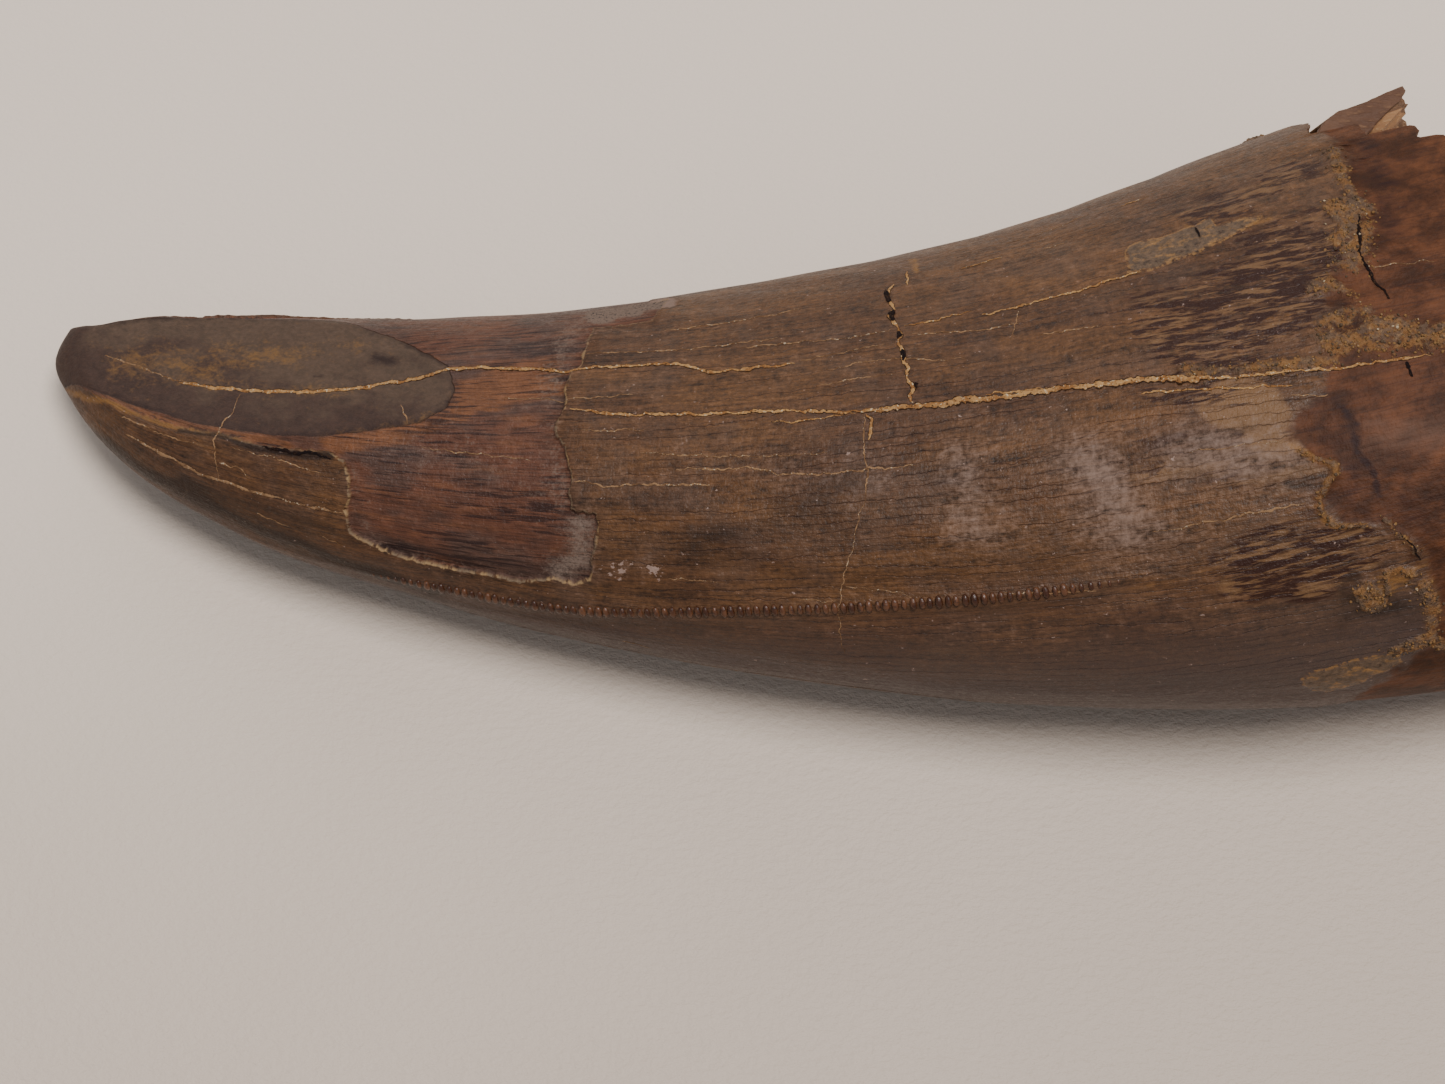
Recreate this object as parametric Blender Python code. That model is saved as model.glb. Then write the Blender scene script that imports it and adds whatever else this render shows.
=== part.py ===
"""A fossil tyrannosaur tooth, broken off at the root, lying on its outer (labial) face.

The tooth is one solid piece: a curved crown under a skin of enamel, which is chipped away near the worn tip, and the
start of a hollow root. Its axis is a level arc. +X runs from the tip towards the root, +Y towards the hollow (distal)
edge and +Z is up. The origin is under the middle of the tooth, on the surface that it lies on.

A station is a length along the axis from the tip. An angle goes round a section: 0 at the bulging (mesial) edge, a
quarter turn on top, a half turn at the hollow (distal) edge.
"""

import math

import bmesh
import bpy
import numpy as np
from mathutils import Matrix, Vector

MM = 0.001
QUARTER_TURN = math.pi / 2

# The axis starts at the tip and bends towards the distal edge, as the whole tooth does.
TIP = Vector((-60.17, 10.02, 0.0)) * MM
START_HEADING = math.radians(-29.0)
BEND_RADIUS = 140.0 * MM

# Half widths from the axis to the mesial and the distal edge, at stations along it.
STATIONS = np.array([2, 5, 10, 20, 35, 55, 75, 95, 120]) * MM
MESIAL_HALF_WIDTH = np.array([4.0, 5.8, 8.0, 10.0, 10.8, 12.5, 14.9, 17.8, 20.4]) * MM
DISTAL_HALF_WIDTH = np.array([1.0, 2.7, 4.8, 8.3, 12.4, 17.4, 21.1, 24.7, 26.6]) * MM
HALF_THICKNESS_SHARE = 0.36

# The belly is straight from mid crown to the root and lifts towards the tip. It is rubbed flat where it lies.
TIP_LIFT = 4.0 * MM
LIFT_ENDS = 50.0 * MM
BELLY_WEAR = 0.35 * MM
FLOOR_BLOCK = 200.0 * MM

# The enamel and the line where it ends at the root: angles in degrees and the station there.
ENAMEL = 0.4 * MM
ENAMEL_BASE_ANGLES = [0, 15, 35, 55, 77, 93, 108, 128, 165, 200, 240, 280, 320]
ENAMEL_BASE = [94, 96, 98.5, 95, 91, 92.5, 98.5, 100, 98, 96, 94, 93, 92.5]

# The broken end of the root: angles in degrees and the station there, then the wall and where the pulp cavity ends.
RIM_ANGLES = [0, 20, 40, 60, 75, 90, 105, 118, 132, 136, 142, 149, 155, 160, 164, 168, 172, 180, 187, 196, 204, 225,
              245, 265, 285, 305, 325, 342]
RIM = [116, 119, 117, 114.5, 115.5, 112.5, 113.5, 111, 110, 108, 107, 105, 102.5, 101.5, 105, 109.5, 112, 112.5, 111.5,
       108.5, 104, 107.5, 112, 110.5, 113.5, 117, 114.5, 117.5]
WALL_ANGLES = [0, 110, 145, 195, 230]
WALL = [2.6, 2.4, 1.5, 1.5, 2.4]
PULP_APEX = 72.0 * MM
PULP_FLARE = 0.75

# The wear facet on the tip: a very shallow cylinder face along the tooth, pitched and rolled to the distal edge.
FACET_POINT = TIP + Vector((16.6, -5.7, 11.36)) * MM
FACET_HEADING = math.radians(-17.9)
FACET_PITCH = math.radians(16.8)
FACET_ROLL = math.radians(9.8)
FACET_RADIUS = 420.0 * MM
FACET_SEGMENTS = 800
FACET_BLOCK = Vector((50.0, 30.0, 8.0)) * MM

# The chip in the enamel, seen from above and measured from the tip. Below its floor the enamel is whole.
CHIP_FLOOR = 8.6 * MM
CHIP_TOP = 30.0 * MM
CHIP_OUTLINE = [(7.6, -8.5), (10.6, -10.9), (13.4, -12), (16.4, -13.3), (18.6, -14.2), (22, -14.7), (23.3, -15.6),
                (23.7, -17.1), (23.4, -18.6), (23.6, -19.9), (26.8, -21.4), (31.1, -22.7), (36, -24), (41.1, -24.5),
                (41.4, -23.1), (41.6, -20.6), (39.8, -20.2), (39.4, -15.6), (38.5, -14.8), (38.8, -13.5),
                (39.4, -9.5), (40.4, -8.7), (41, -5.8), (45.3, -5.3), (46, 3), (25, 7), (8, 5), (4.6, -3.5)]

# The serrated keels: stations in millimetres and the angle there in degrees, then the stretch with serrations.
MESIAL_KEEL = ([4, 20, 35, 45, 55, 66, 80], [-8, -2, 11, 20, 31, 40, 47], (30, 80))
DISTAL_KEEL = ([4, 20, 50, 93], [200, 194, 188, 186], (9, 93))
KEEL_HALF_WIDTH = 0.55 * MM
KEEL_SINK = 0.3 * MM
KEEL_HEIGHT = 0.42 * MM
WORN_KEEL_HEIGHT = 0.12 * MM
KEEL_FADE = 6.0 * MM
SERRATION_PITCH = 0.55 * MM
SERRATION_DEPTH = 0.22 * MM
SMOOTH_KEEL_STEP = 2.6 * MM

# How finely the surfaces are divided. The columns crowd together where the break of the root is jagged.
JAGGED_FROM = 132
JAGGED_TO = 200
JAGGED_COLUMNS = 17
PLAIN_COLUMNS = 35
CROWN_RINGS = 26
TIP_CROWDING = 1.6
ROOT_RINGS = 5
ROOT_STEP = 0.7 * MM
PULP_RINGS = 9
SMALL_TURN = 0.02


def smooth_through(at, places, values):
    """The height at some places of a smooth curve through the given values."""
    places, values = np.asarray(places, float), np.asarray(values, float)
    slopes = np.gradient(values, places)
    left = np.clip(np.searchsorted(places, at) - 1, 0, len(places) - 2)
    gap = places[left + 1] - places[left]
    t = np.clip((at - places[left]) / gap, 0, 1)
    return (
        (2 * t**3 - 3 * t**2 + 1) * values[left]
        + (t**3 - 2 * t**2 + t) * gap * slopes[left]
        + (3 * t**2 - 2 * t**3) * values[left + 1]
        + (t**3 - t**2) * gap * slopes[left + 1]
    )


def half_width(station, values):
    """A half width at a station, with a round nose before the first one given."""
    nose = values[0] * np.sqrt(np.clip(1 - (1 - station / STATIONS[0]) ** 2, 0, 1))
    return np.where(station < STATIONS[0], nose, smooth_through(station, STATIONS, values))


def surface_point(station, angle, inset=0.0, share=1.0):
    """A point of the section at a station. The inset pares the section down and the share then scales it."""
    mesial = half_width(station, MESIAL_HALF_WIDTH)
    distal = half_width(station, DISTAL_HALF_WIDTH)
    thickness = HALF_THICKNESS_SHARE * (mesial + distal)
    across = np.where(np.cos(angle) > 0, mesial, distal)
    out = (across - np.minimum(inset, across)) * np.cos(angle) * share
    up = (thickness - np.minimum(inset, thickness)) * np.sin(angle) * share
    heading = START_HEADING + station / BEND_RADIUS
    x = TIP.x + BEND_RADIUS * (np.sin(heading) - math.sin(START_HEADING)) + out * np.sin(heading)
    y = TIP.y - BEND_RADIUS * (np.cos(heading) - math.cos(START_HEADING)) - out * np.cos(heading)
    lift = TIP_LIFT * np.clip(1 - station / LIFT_ENDS, 0, 1) ** 2
    return np.stack([x, y, thickness + lift - BELLY_WEAR + up], axis=-1)


def around(angle, angles, values):
    """A length in millimetres that is given at some angles in degrees, read at any angle of a full turn."""
    return np.interp(np.degrees(angle) % 360, list(angles) + [360], list(values) + [values[0]]) * MM


def mesh_object(name, points, faces, collection):
    """A new object with the given points and faces."""
    mesh = bpy.data.meshes.new(name)
    mesh.from_pydata([tuple(p) for p in points], [], faces)
    thing = bpy.data.objects.new(name, mesh)
    collection.objects.link(thing)
    return thing


def form_object(name, form, collection):
    """A new object with the shape of a bmesh, which is then freed."""
    mesh = bpy.data.meshes.new(name)
    form.to_mesh(mesh)
    form.free()
    thing = bpy.data.objects.new(name, mesh)
    collection.objects.link(thing)
    return thing


def loft(name, start, rings, end, collection):
    """A closed solid through rings of points, from a first point to a last one."""
    count = len(rings[0])
    points = [start] + [p for ring in rings for p in ring] + [end]
    faces = []
    for j in range(count):
        turn = (j + 1) % count
        faces.append((0, 1 + j, 1 + turn))
        for i in range(len(rings) - 1):
            near = 1 + i * count
            faces.append((near + j, near + count + j, near + count + turn, near + turn))
        last = 1 + (len(rings) - 1) * count
        faces.append((last + j, len(points) - 1, last + turn))
    return mesh_object(name, points, faces, collection)


def crown_rings(angles, end, inset):
    """Rings from the tip to the end line, crowded near the tip."""
    shares = (np.arange(1, CROWN_RINGS + 1) / CROWN_RINGS) ** TIP_CROWDING
    return [surface_point(end * share, angles, inset) for share in shares]


def column_angles():
    """The angles of the points round each ring, closer together at the jagged side of the break."""
    jagged = np.linspace(JAGGED_FROM, JAGGED_TO, JAGGED_COLUMNS)
    plain = np.linspace(JAGGED_TO, JAGGED_FROM + 360, PLAIN_COLUMNS + 2)[1:-1]
    return np.radians(np.sort(np.concatenate([jagged, plain]) % 360))


def make_tooth(collection):
    """The whole tooth with its hollow root: crown, root, then back down the wall of the pulp cavity."""
    angles = column_angles()
    wall = around(angles, WALL_ANGLES, WALL)
    base = around(angles, ENAMEL_BASE_ANGLES, ENAMEL_BASE)
    rim = around(angles, RIM_ANGLES, RIM)
    rings = crown_rings(angles, base, 0.0)
    for share in np.linspace(0, 1, ROOT_RINGS):
        rings.append(surface_point(base + ROOT_STEP + (rim - base - ROOT_STEP) * share, angles, ENAMEL))
    for share in np.linspace(1, 0, PULP_RINGS, endpoint=False):
        station = PULP_APEX + (rim - PULP_APEX) * share
        rings.append(surface_point(station, angles, wall, share**PULP_FLARE))
    tip = surface_point(np.array([0.0]), np.array([0.0]))[0]
    apex = surface_point(np.array([PULP_APEX]), np.array([0.0]), 0.0, 0.0)[0]
    return loft("tooth", tip, rings, apex, collection)


def make_chip_cutter(collection):
    """What the chip takes away: an upright block of the chip's outline, less the dentine that stays."""
    count = len(CHIP_OUTLINE)
    points = [TIP + Vector((x * MM, y * MM, z)) for z in (CHIP_FLOOR, CHIP_TOP) for x, y in CHIP_OUTLINE]
    faces = [tuple(reversed(range(count))), tuple(range(count, 2 * count))]
    for j in range(count):
        turn = (j + 1) % count
        faces.append((j, turn, count + turn, count + j))
    block = mesh_object("enamel_chip", points, faces, collection)
    angles = column_angles()
    base = around(angles, ENAMEL_BASE_ANGLES, ENAMEL_BASE)
    tip = surface_point(np.array([ENAMEL / 10]), np.array([0.0]), ENAMEL, 0.0)[0]
    end = surface_point(base.mean(keepdims=True), np.array([0.0]), ENAMEL, 0.0)[0]
    dentine = loft("dentine", tip, crown_rings(angles, base, ENAMEL), end, collection)
    join(block, dentine, "DIFFERENCE")
    return block


def make_facet_cutter(collection):
    """What wear took off the tip: a block above a shallow cylinder face."""
    along = Vector((math.cos(FACET_HEADING), math.sin(FACET_HEADING), math.tan(FACET_PITCH))).normalized()
    side = Vector((-math.sin(FACET_HEADING), math.cos(FACET_HEADING), 0.0))
    turn = Matrix((along, side, along.cross(side))).transposed() @ Matrix.Rotation(-FACET_ROLL, 3, "X")
    frame = Matrix.Translation(FACET_POINT) @ turn.to_4x4()
    block = bmesh.new()
    bmesh.ops.create_cube(block, size=2.0, matrix=frame @ Matrix.Diagonal((*(FACET_BLOCK / 2), 1.0)))
    roller = bmesh.new()
    lying = Matrix.Translation((0, 0, -FACET_RADIUS)) @ Matrix.Rotation(QUARTER_TURN, 4, "Y")
    bmesh.ops.create_cone(roller, cap_ends=True, segments=FACET_SEGMENTS, radius1=FACET_RADIUS,
                          radius2=FACET_RADIUS, depth=2 * FACET_BLOCK.x, matrix=frame @ lying)
    worn = form_object("worn_block", block, collection)
    join(worn, form_object("worn_face", roller, collection), "DIFFERENCE")
    return worn


def make_floor_cutter(collection):
    """A block under the surface that the tooth lies on, which takes off the rubbed strip of the belly."""
    block = bmesh.new()
    below = Matrix.Translation((0, 0, -FLOOR_BLOCK / 2))
    bmesh.ops.create_cube(block, size=FLOOR_BLOCK, matrix=below)
    return form_object("rubbed_belly", block, collection)


def make_keel(name, line, collection):
    """A serrated keel: a three-sided strip along the tooth, sunk into it, with a crest that rises and falls."""
    stations, angles, serrated = line
    start, stop = (edge * MM for edge in serrated)
    smooth = np.arange(stations[0] * MM, start, SMOOTH_KEEL_STEP)
    station = np.concatenate([smooth, np.arange(start, stop, SERRATION_PITCH / 2)])
    angle = np.radians(smooth_through(station / MM, stations, angles))
    foot = surface_point(station, angle)
    side = surface_point(station, angle + SMALL_TURN) - surface_point(station, angle - SMALL_TURN)
    side /= np.linalg.norm(side, axis=1, keepdims=True)
    normal = np.cross(np.gradient(foot, axis=0), side)
    normal /= np.linalg.norm(normal, axis=1, keepdims=True)
    rise = np.clip((station - start) / KEEL_FADE, 0, 1) * np.clip((stop - station) / KEEL_FADE, 0, 1)
    notch = SERRATION_DEPTH * (np.arange(len(station)) % 2) * rise
    height = WORN_KEEL_HEIGHT + (KEEL_HEIGHT - WORN_KEEL_HEIGHT) * rise - notch
    crest = foot + normal * height[:, None]
    root = foot - normal * KEEL_SINK
    rings = np.stack([root - side * KEEL_HALF_WIDTH, crest, root + side * KEEL_HALF_WIDTH], axis=1)
    return loft(name, root[0], rings, root[-1], collection)


def join(thing, other, operation):
    """Add a Boolean of another object to an object."""
    step = thing.modifiers.new(other.name, "BOOLEAN")
    step.operation = operation
    step.solver = "EXACT"
    step.object = other


def fossil_material():
    """The brown of the enamel, with a soft polish."""
    material = bpy.data.materials.new("fossil_enamel")
    material.use_nodes = True
    surface = material.node_tree.nodes["Principled BSDF"]
    surface.inputs["Base Color"].default_value = (0.13, 0.07, 0.04, 1.0)
    surface.inputs["Roughness"].default_value = 0.4
    surface.inputs["Metallic"].default_value = 0.0
    return material


def main():
    for thing in list(bpy.data.objects):
        bpy.data.objects.remove(thing)
    model = bpy.data.collections.new("fossil_tyrannosaur_tooth")
    cutters = bpy.data.collections.new("cutters")
    for collection in (model, cutters):
        bpy.context.scene.collection.children.link(collection)
    tooth = make_tooth(model)
    tooth.data.materials.append(fossil_material())
    join(tooth, make_chip_cutter(cutters), "DIFFERENCE")
    join(tooth, make_keel("mesial_keel", MESIAL_KEEL, cutters), "UNION")
    join(tooth, make_keel("distal_keel", DISTAL_KEEL, cutters), "UNION")
    join(tooth, make_facet_cutter(cutters), "DIFFERENCE")
    join(tooth, make_floor_cutter(cutters), "DIFFERENCE")
    for cutter in cutters.objects:
        cutter.hide_render = True
        cutter.display_type = "WIRE"


main()
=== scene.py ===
"""The looks of a fossil tyrannosaur tooth that lies on a pale table with its inner face up.

Lengths are in millimetres and angles in degrees until a mesh is made. A station is a length along the
tooth's bent axis from the tip. An angle goes round a section: 0 at the bulging edge, 90 on top, 180 at the
hollow edge. Places on the side that the photograph shows are given by its pixels, and are looked up on the
surface under each pixel.
"""

import logging
import math
from dataclasses import dataclass
from enum import Enum

import bpy
import numpy as np
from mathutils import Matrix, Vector

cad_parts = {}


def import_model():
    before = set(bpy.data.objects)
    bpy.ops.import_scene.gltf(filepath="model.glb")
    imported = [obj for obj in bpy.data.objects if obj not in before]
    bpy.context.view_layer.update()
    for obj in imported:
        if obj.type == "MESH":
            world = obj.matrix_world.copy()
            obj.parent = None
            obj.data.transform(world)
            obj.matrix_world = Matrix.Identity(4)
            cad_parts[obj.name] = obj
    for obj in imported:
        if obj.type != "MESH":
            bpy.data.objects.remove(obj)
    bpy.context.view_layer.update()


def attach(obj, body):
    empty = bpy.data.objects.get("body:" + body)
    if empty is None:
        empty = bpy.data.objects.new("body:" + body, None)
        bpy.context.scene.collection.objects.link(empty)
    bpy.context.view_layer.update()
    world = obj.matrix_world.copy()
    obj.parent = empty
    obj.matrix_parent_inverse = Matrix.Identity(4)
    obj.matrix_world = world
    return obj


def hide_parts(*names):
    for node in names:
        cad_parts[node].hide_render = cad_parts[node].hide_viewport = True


Pair = tuple[float, float]
Pixels = tuple[Pair, ...]
Waves = tuple[tuple[float, int, float], ...]

MM = 0.001
BODY = "root"
NODE = "tooth"
LOG = logging.getLogger("tooth")

SHEEN = 0.0115
BRIGHTNESS = 1.4
DARKEST = 0.0012
THINNEST = 0.1


def shade(red: int, green: int, blue: int) -> tuple[float, float, float, float]:
    """The paint that shows as a given screen colour on the tooth, in this scene's light.

    Args:
        red, green, blue: the colour that the picture is to show, each 0 to 255.

    Returns:
        Linear red, green and blue, and an alpha of 1.
    """
    seen = [(c / 255 / 12.92) if c <= 10 else ((c / 255 + 0.055) / 1.055) ** 2.4 for c in (red, green, blue)]
    return (*(max((c - SHEEN) / BRIGHTNESS, DARKEST) for c in seen), 1.0)


def smooth_through(at: np.ndarray, places: tuple[float, ...], values: tuple[float, ...]) -> np.ndarray:
    """Reads a smooth curve through given values.

    Args:
        at: where to read it.
        places, values: the points that it passes through.

    Returns:
        The curve's height at each place asked for.
    """
    xs, ys = np.asarray(places, float), np.asarray(values, float)
    slopes = np.gradient(ys, xs)
    left = np.clip(np.searchsorted(xs, at) - 1, 0, len(xs) - 2)
    gap = xs[left + 1] - xs[left]
    t = np.clip((at - xs[left]) / gap, 0, 1)
    rise = (2 * t**3 - 3 * t**2 + 1) * ys[left] + (3 * t**2 - 2 * t**3) * ys[left + 1]
    return rise + ((t**3 - 2 * t**2 + t) * slopes[left] + (t**3 - t**2) * slopes[left + 1]) * gap


def smooth_step(value: np.ndarray, low: float, high: float) -> np.ndarray:
    """A soft step from 0 below low to 1 above high."""
    t = np.clip((value - low) / (high - low), 0, 1)
    return t * t * (3 - 2 * t)


def ripple(x: np.ndarray, y: np.ndarray, length: float, seed: int) -> np.ndarray:
    """An uneven wave over a plane, for dents and ragged edges.

    Args:
        x, y: places on the plane.
        length: the usual length of a wave.
        seed: picks the waves.

    Returns:
        Heights, mostly between -1 and 1.
    """
    rng = np.random.default_rng(seed)
    total = np.zeros(np.broadcast(x, y).shape)
    for scale in (0.55, 0.8, 1.0, 1.4, 2.1):
        turn, start = rng.uniform(0, 2 * math.pi, 2)
        reach = x * math.cos(turn) + y * math.sin(turn)
        total = total + np.sin(2 * math.pi * reach / (length * scale) + start)
    return total / 3


def ragged(flat: np.ndarray, waves: Waves) -> np.ndarray:
    """The sum of uneven waves over a plane, each given by its length, seed and height."""
    return sum(ripple(flat[..., 0], flat[..., 1], length, seed) * height for length, seed, height in waves)


def lengths_along(points: np.ndarray) -> np.ndarray:
    """How far along a line its points lie."""
    return np.concatenate([[0], np.cumsum(np.linalg.norm(np.diff(points, axis=0), axis=1))])


def unit(vectors: np.ndarray) -> np.ndarray:
    """The directions of vectors."""
    return vectors / np.maximum(np.linalg.norm(vectors, axis=-1, keepdims=True), 1e-9)


@dataclass(frozen=True)
class ToothForm:
    """The tooth's driving sizes and the smooth surface that they give."""

    tip: tuple[float, float] = (-60.17, 10.02)
    start_heading: float = -29.0
    bend_radius: float = 140.0
    stations: tuple[float, ...] = (2, 5, 10, 20, 35, 55, 75, 95, 120)
    mesial: tuple[float, ...] = (4.0, 5.8, 8.0, 10.0, 10.8, 12.5, 14.9, 17.8, 20.4)
    distal: tuple[float, ...] = (1.0, 2.7, 4.8, 8.3, 12.4, 17.4, 21.1, 24.7, 26.6)
    mesial_nose: float = 0.32
    distal_nose: float = 0.7
    thickness_share: float = 0.36
    tip_lift: float = 4.0
    lift_ends: float = 50.0
    belly_wear: float = 0.35
    enamel: float = 0.4
    base_angles: tuple[float, ...] = (
        0, 14, 20, 25, 32, 41, 50, 55, 57, 63, 68, 71, 77, 81, 91, 95, 104, 113, 121, 135, 156, 170, 200, 240,
        280, 320,
    )
    base: tuple[float, ...] = (
        95, 96.6, 97.6, 98.3, 98.2, 97.9, 97.1, 95.6, 92.6, 91.9, 93.1, 92.2, 90.6, 91.5, 93.8, 94.7, 95.7,
        98, 99.6, 101.4, 100.9, 99.5, 96, 94, 93, 92.5,
    )
    rim_angles: tuple[float, ...] = (
        0, 20, 40, 60, 75, 90, 105, 118, 127, 131, 132.2, 134, 137.6, 138.6, 145.8, 147, 155, 184, 186, 192,
        197, 202, 207, 210, 216, 222, 230, 245, 265, 285, 305, 325, 342,
    )
    rim: tuple[float, ...] = (
        116, 119, 117, 114.5, 115.5, 112.5, 113.5, 111, 110, 109, 106.8, 107.4, 107.5, 104, 104.5, 100.6,
        101.2, 101.8, 111.4, 111.8, 112.3, 112.6, 113, 112.5, 110, 107, 107.5, 112, 110.5, 113.5, 117,
        114.5, 117.5,
    )
    lean: float = 22.0
    lean_stations: Pair = (102.5, 106.5)
    lean_starts: Pair = (179, 185)
    lean_ends: Pair = (215, 265)
    wall_angles: tuple[float, ...] = (0, 110, 145, 195, 230)
    wall: tuple[float, ...] = (2.6, 2.4, 1.5, 1.5, 2.4)
    pulp_apex: float = 72.0
    pulp_flare: float = 0.75
    facet_point: tuple[float, float, float] = (-43.57, 4.32, 11.36)
    facet_heading: float = -17.9
    facet_pitch: float = 16.8
    facet_roll: float = 9.8
    facet_radius: float = 420.0
    fan_radius: float = 15.0
    mesial_middle: float = 10.0
    mesial_twist: float = 0.5
    mesial_straight: float = 50.0
    distal_twist: float = 0.35
    distal_straight: float = 40.0
    top_twist: float = 0.45
    top_straight: float = 80.0
    top_middle: float = 100.0
    top_spread: float = 30.0

    def half_width(self, station: np.ndarray, values: tuple[float, ...]) -> np.ndarray:
        """A half width along the tooth, with a round nose at the tip.

        Args:
            station: where to read it.
            values: the half widths at the form's stations.

        Returns:
            The half width at each station asked for.
        """
        power = self.mesial_nose if values is self.mesial else self.distal_nose
        nose = values[0] * np.clip(station / self.stations[0], 0, 1) ** power
        return np.where(station < self.stations[0], nose, smooth_through(station, self.stations, values))

    def thickness(self, station: np.ndarray) -> np.ndarray:
        """Half of the tooth's thickness at each station."""
        return self.thickness_share * (
            self.half_width(station, self.mesial) + self.half_width(station, self.distal)
        )

    def around(self, angle: np.ndarray, angles: tuple[float, ...], values: tuple[float, ...]) -> np.ndarray:
        """Values given at some angles, read at any angle of a full turn."""
        return np.interp(np.asarray(angle) % 360, [*angles, 360], [*values, values[0]])

    def straight(
        self, station: np.ndarray, angle: np.ndarray, inset: np.ndarray, share: np.ndarray
    ) -> np.ndarray:
        """Places on the tooth as if its axis were straight.

        Args:
            station, angle: where on the skin.
            inset: how far below the unworn surface.
            share: how far out from the axis, as a part of the whole, for the pulp cavity.

        Returns:
            Length along the axis, width out to the mesial edge and height over the axis.
        """
        near_rim = smooth_step(station, *self.lean_stations) * smooth_step(angle, *self.lean_starts)
        turn = np.radians(angle - self.lean * near_rim * (1 - smooth_step(angle, *self.lean_ends)))
        widest = np.where(np.cos(turn) > 0, self.half_width(station, self.mesial),
                          self.half_width(station, self.distal))
        thickness = self.thickness(station)
        out = (widest - np.minimum(inset, widest)) * np.cos(turn) * share
        rise = (thickness - np.minimum(inset, thickness)) * np.sin(turn) * share
        return np.stack(np.broadcast_arrays(station, out, rise), axis=-1)

    def bend(self, straight: np.ndarray) -> np.ndarray:
        """Bends straight places along the tooth's axis, to where they are in the model.

        Args:
            straight: lengths along the tooth, out across it and up.

        Returns:
            The places in the model.
        """
        station, out, rise = straight[..., 0], straight[..., 1], straight[..., 2]
        start = math.radians(self.start_heading)
        heading = start + station / self.bend_radius
        x = self.tip[0] + self.bend_radius * (np.sin(heading) - math.sin(start)) + out * np.sin(heading)
        y = self.tip[1] - self.bend_radius * (np.cos(heading) - math.cos(start)) - out * np.cos(heading)
        lift = self.tip_lift * np.clip(1 - station / self.lift_ends, 0, 1) ** 2
        return np.stack([x, y, rise + self.thickness(station) + lift - self.belly_wear], axis=-1)

    def fan(self, straight: np.ndarray) -> np.ndarray:
        """Coordinates on an even cylinder, on which the lines of growth run straight along.

        Args:
            straight: lengths along the tooth, out across it and up.

        Returns:
            A vector for each place.
        """
        station, out, rise = straight[..., 0], straight[..., 1], straight[..., 2]
        mesial, distal = self.half_width(station, self.mesial), self.half_width(station, self.distal)
        across = (out - (mesial - distal) / 2) / np.maximum((mesial + distal) / 2, THINNEST)
        turn = np.arctan2(rise / np.maximum(self.thickness(station), THINNEST), across)
        share = (0.5 + 0.5 * np.cos(turn - math.radians(self.mesial_middle))) ** 2
        past = np.minimum(station, self.distal_straight) - self.distal_straight
        twist = self.mesial_twist * (station - self.mesial_straight) * share
        twist = twist + self.distal_twist * past * (1 - share)
        near_top = np.exp(-(((np.degrees(turn) - self.top_middle) / self.top_spread) ** 2))
        past_top = np.maximum(station - self.top_straight, 0)
        turn = turn - np.radians(twist - self.top_twist * past_top * near_top)
        return np.stack([station, self.fan_radius * np.cos(turn), self.fan_radius * np.sin(turn)], -1)

    def surface(self, station: np.ndarray, angle: np.ndarray, inset: float = 0.0) -> np.ndarray:
        """Places on the plain surface of the crown and root, in the model."""
        return self.bend(self.straight(station, angle, inset, 1.0))

    def over_facet(self, places: np.ndarray) -> tuple[np.ndarray, np.ndarray]:
        """How far places stand above the wear facet, which is part of a wide cylinder along the tooth.

        Args:
            places: places in the model.

        Returns:
            The height over the facet, and the direction straight out of it.
        """
        heading, pitch = math.radians(self.facet_heading), math.radians(self.facet_pitch)
        roll = math.radians(self.facet_roll)
        along = np.array([math.cos(heading), math.sin(heading), math.tan(pitch)])
        along /= np.linalg.norm(along)
        side = np.array([-math.sin(heading), math.cos(heading), 0.0])
        up = np.cross(along, side) * math.cos(roll) + side * math.sin(roll)
        reach = places - (np.array(self.facet_point) - up * self.facet_radius)
        reach = reach - (reach @ along)[..., None] * along
        far = np.linalg.norm(reach, axis=-1)
        return far - self.facet_radius, reach / far[..., None]


@dataclass(frozen=True)
class PhotoView:
    """The camera of the photograph, and where it shows a place of the model."""

    target: tuple[float, float, float] = (-9.71, -11.14, 13.65)
    distance: float = 200.0
    elevation: float = 68.0
    image: tuple[int, int] = (1445, 1084)
    focal_pixels: float = 2800.0
    sensor: float = 36.0

    def directions(self) -> tuple[np.ndarray, np.ndarray]:
        """The directions from the target to the camera, and up in the picture."""
        tilt = math.radians(self.elevation)
        back = np.array([0.0, -math.cos(tilt), math.sin(tilt)])
        return back, np.array([0.0, math.sin(tilt), math.cos(tilt)])

    def project(self, places: np.ndarray) -> np.ndarray:
        """The pixels at which the photograph shows places of the model.

        Args:
            places: the places.

        Returns:
            The pixels, across and down.
        """
        back, up = self.directions()
        reach = places - np.array(self.target)
        scale = self.focal_pixels / (self.distance - reach @ back)
        across, down = scale * reach[..., 0], -scale * (reach @ up)
        return np.stack([self.image[0] / 2 + across, self.image[1] / 2 + down], -1)

    def eye(self) -> np.ndarray:
        """Where the camera stands."""
        return np.array(self.target) + self.directions()[0] * self.distance

    def make_camera(self) -> None:
        """Adds the camera and makes it the scene's."""
        data = bpy.data.cameras.new("photo_view")
        data.sensor_width = self.sensor
        data.lens = self.focal_pixels * self.sensor / self.image[0]
        data.clip_start = 0.01
        camera = bpy.data.objects.new("photo_view", data)
        camera.location = Vector(self.eye()) * MM
        camera.rotation_euler = (math.radians(90 - self.elevation), 0, 0)
        bpy.context.scene.collection.objects.link(camera)
        bpy.context.scene.camera = camera


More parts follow.
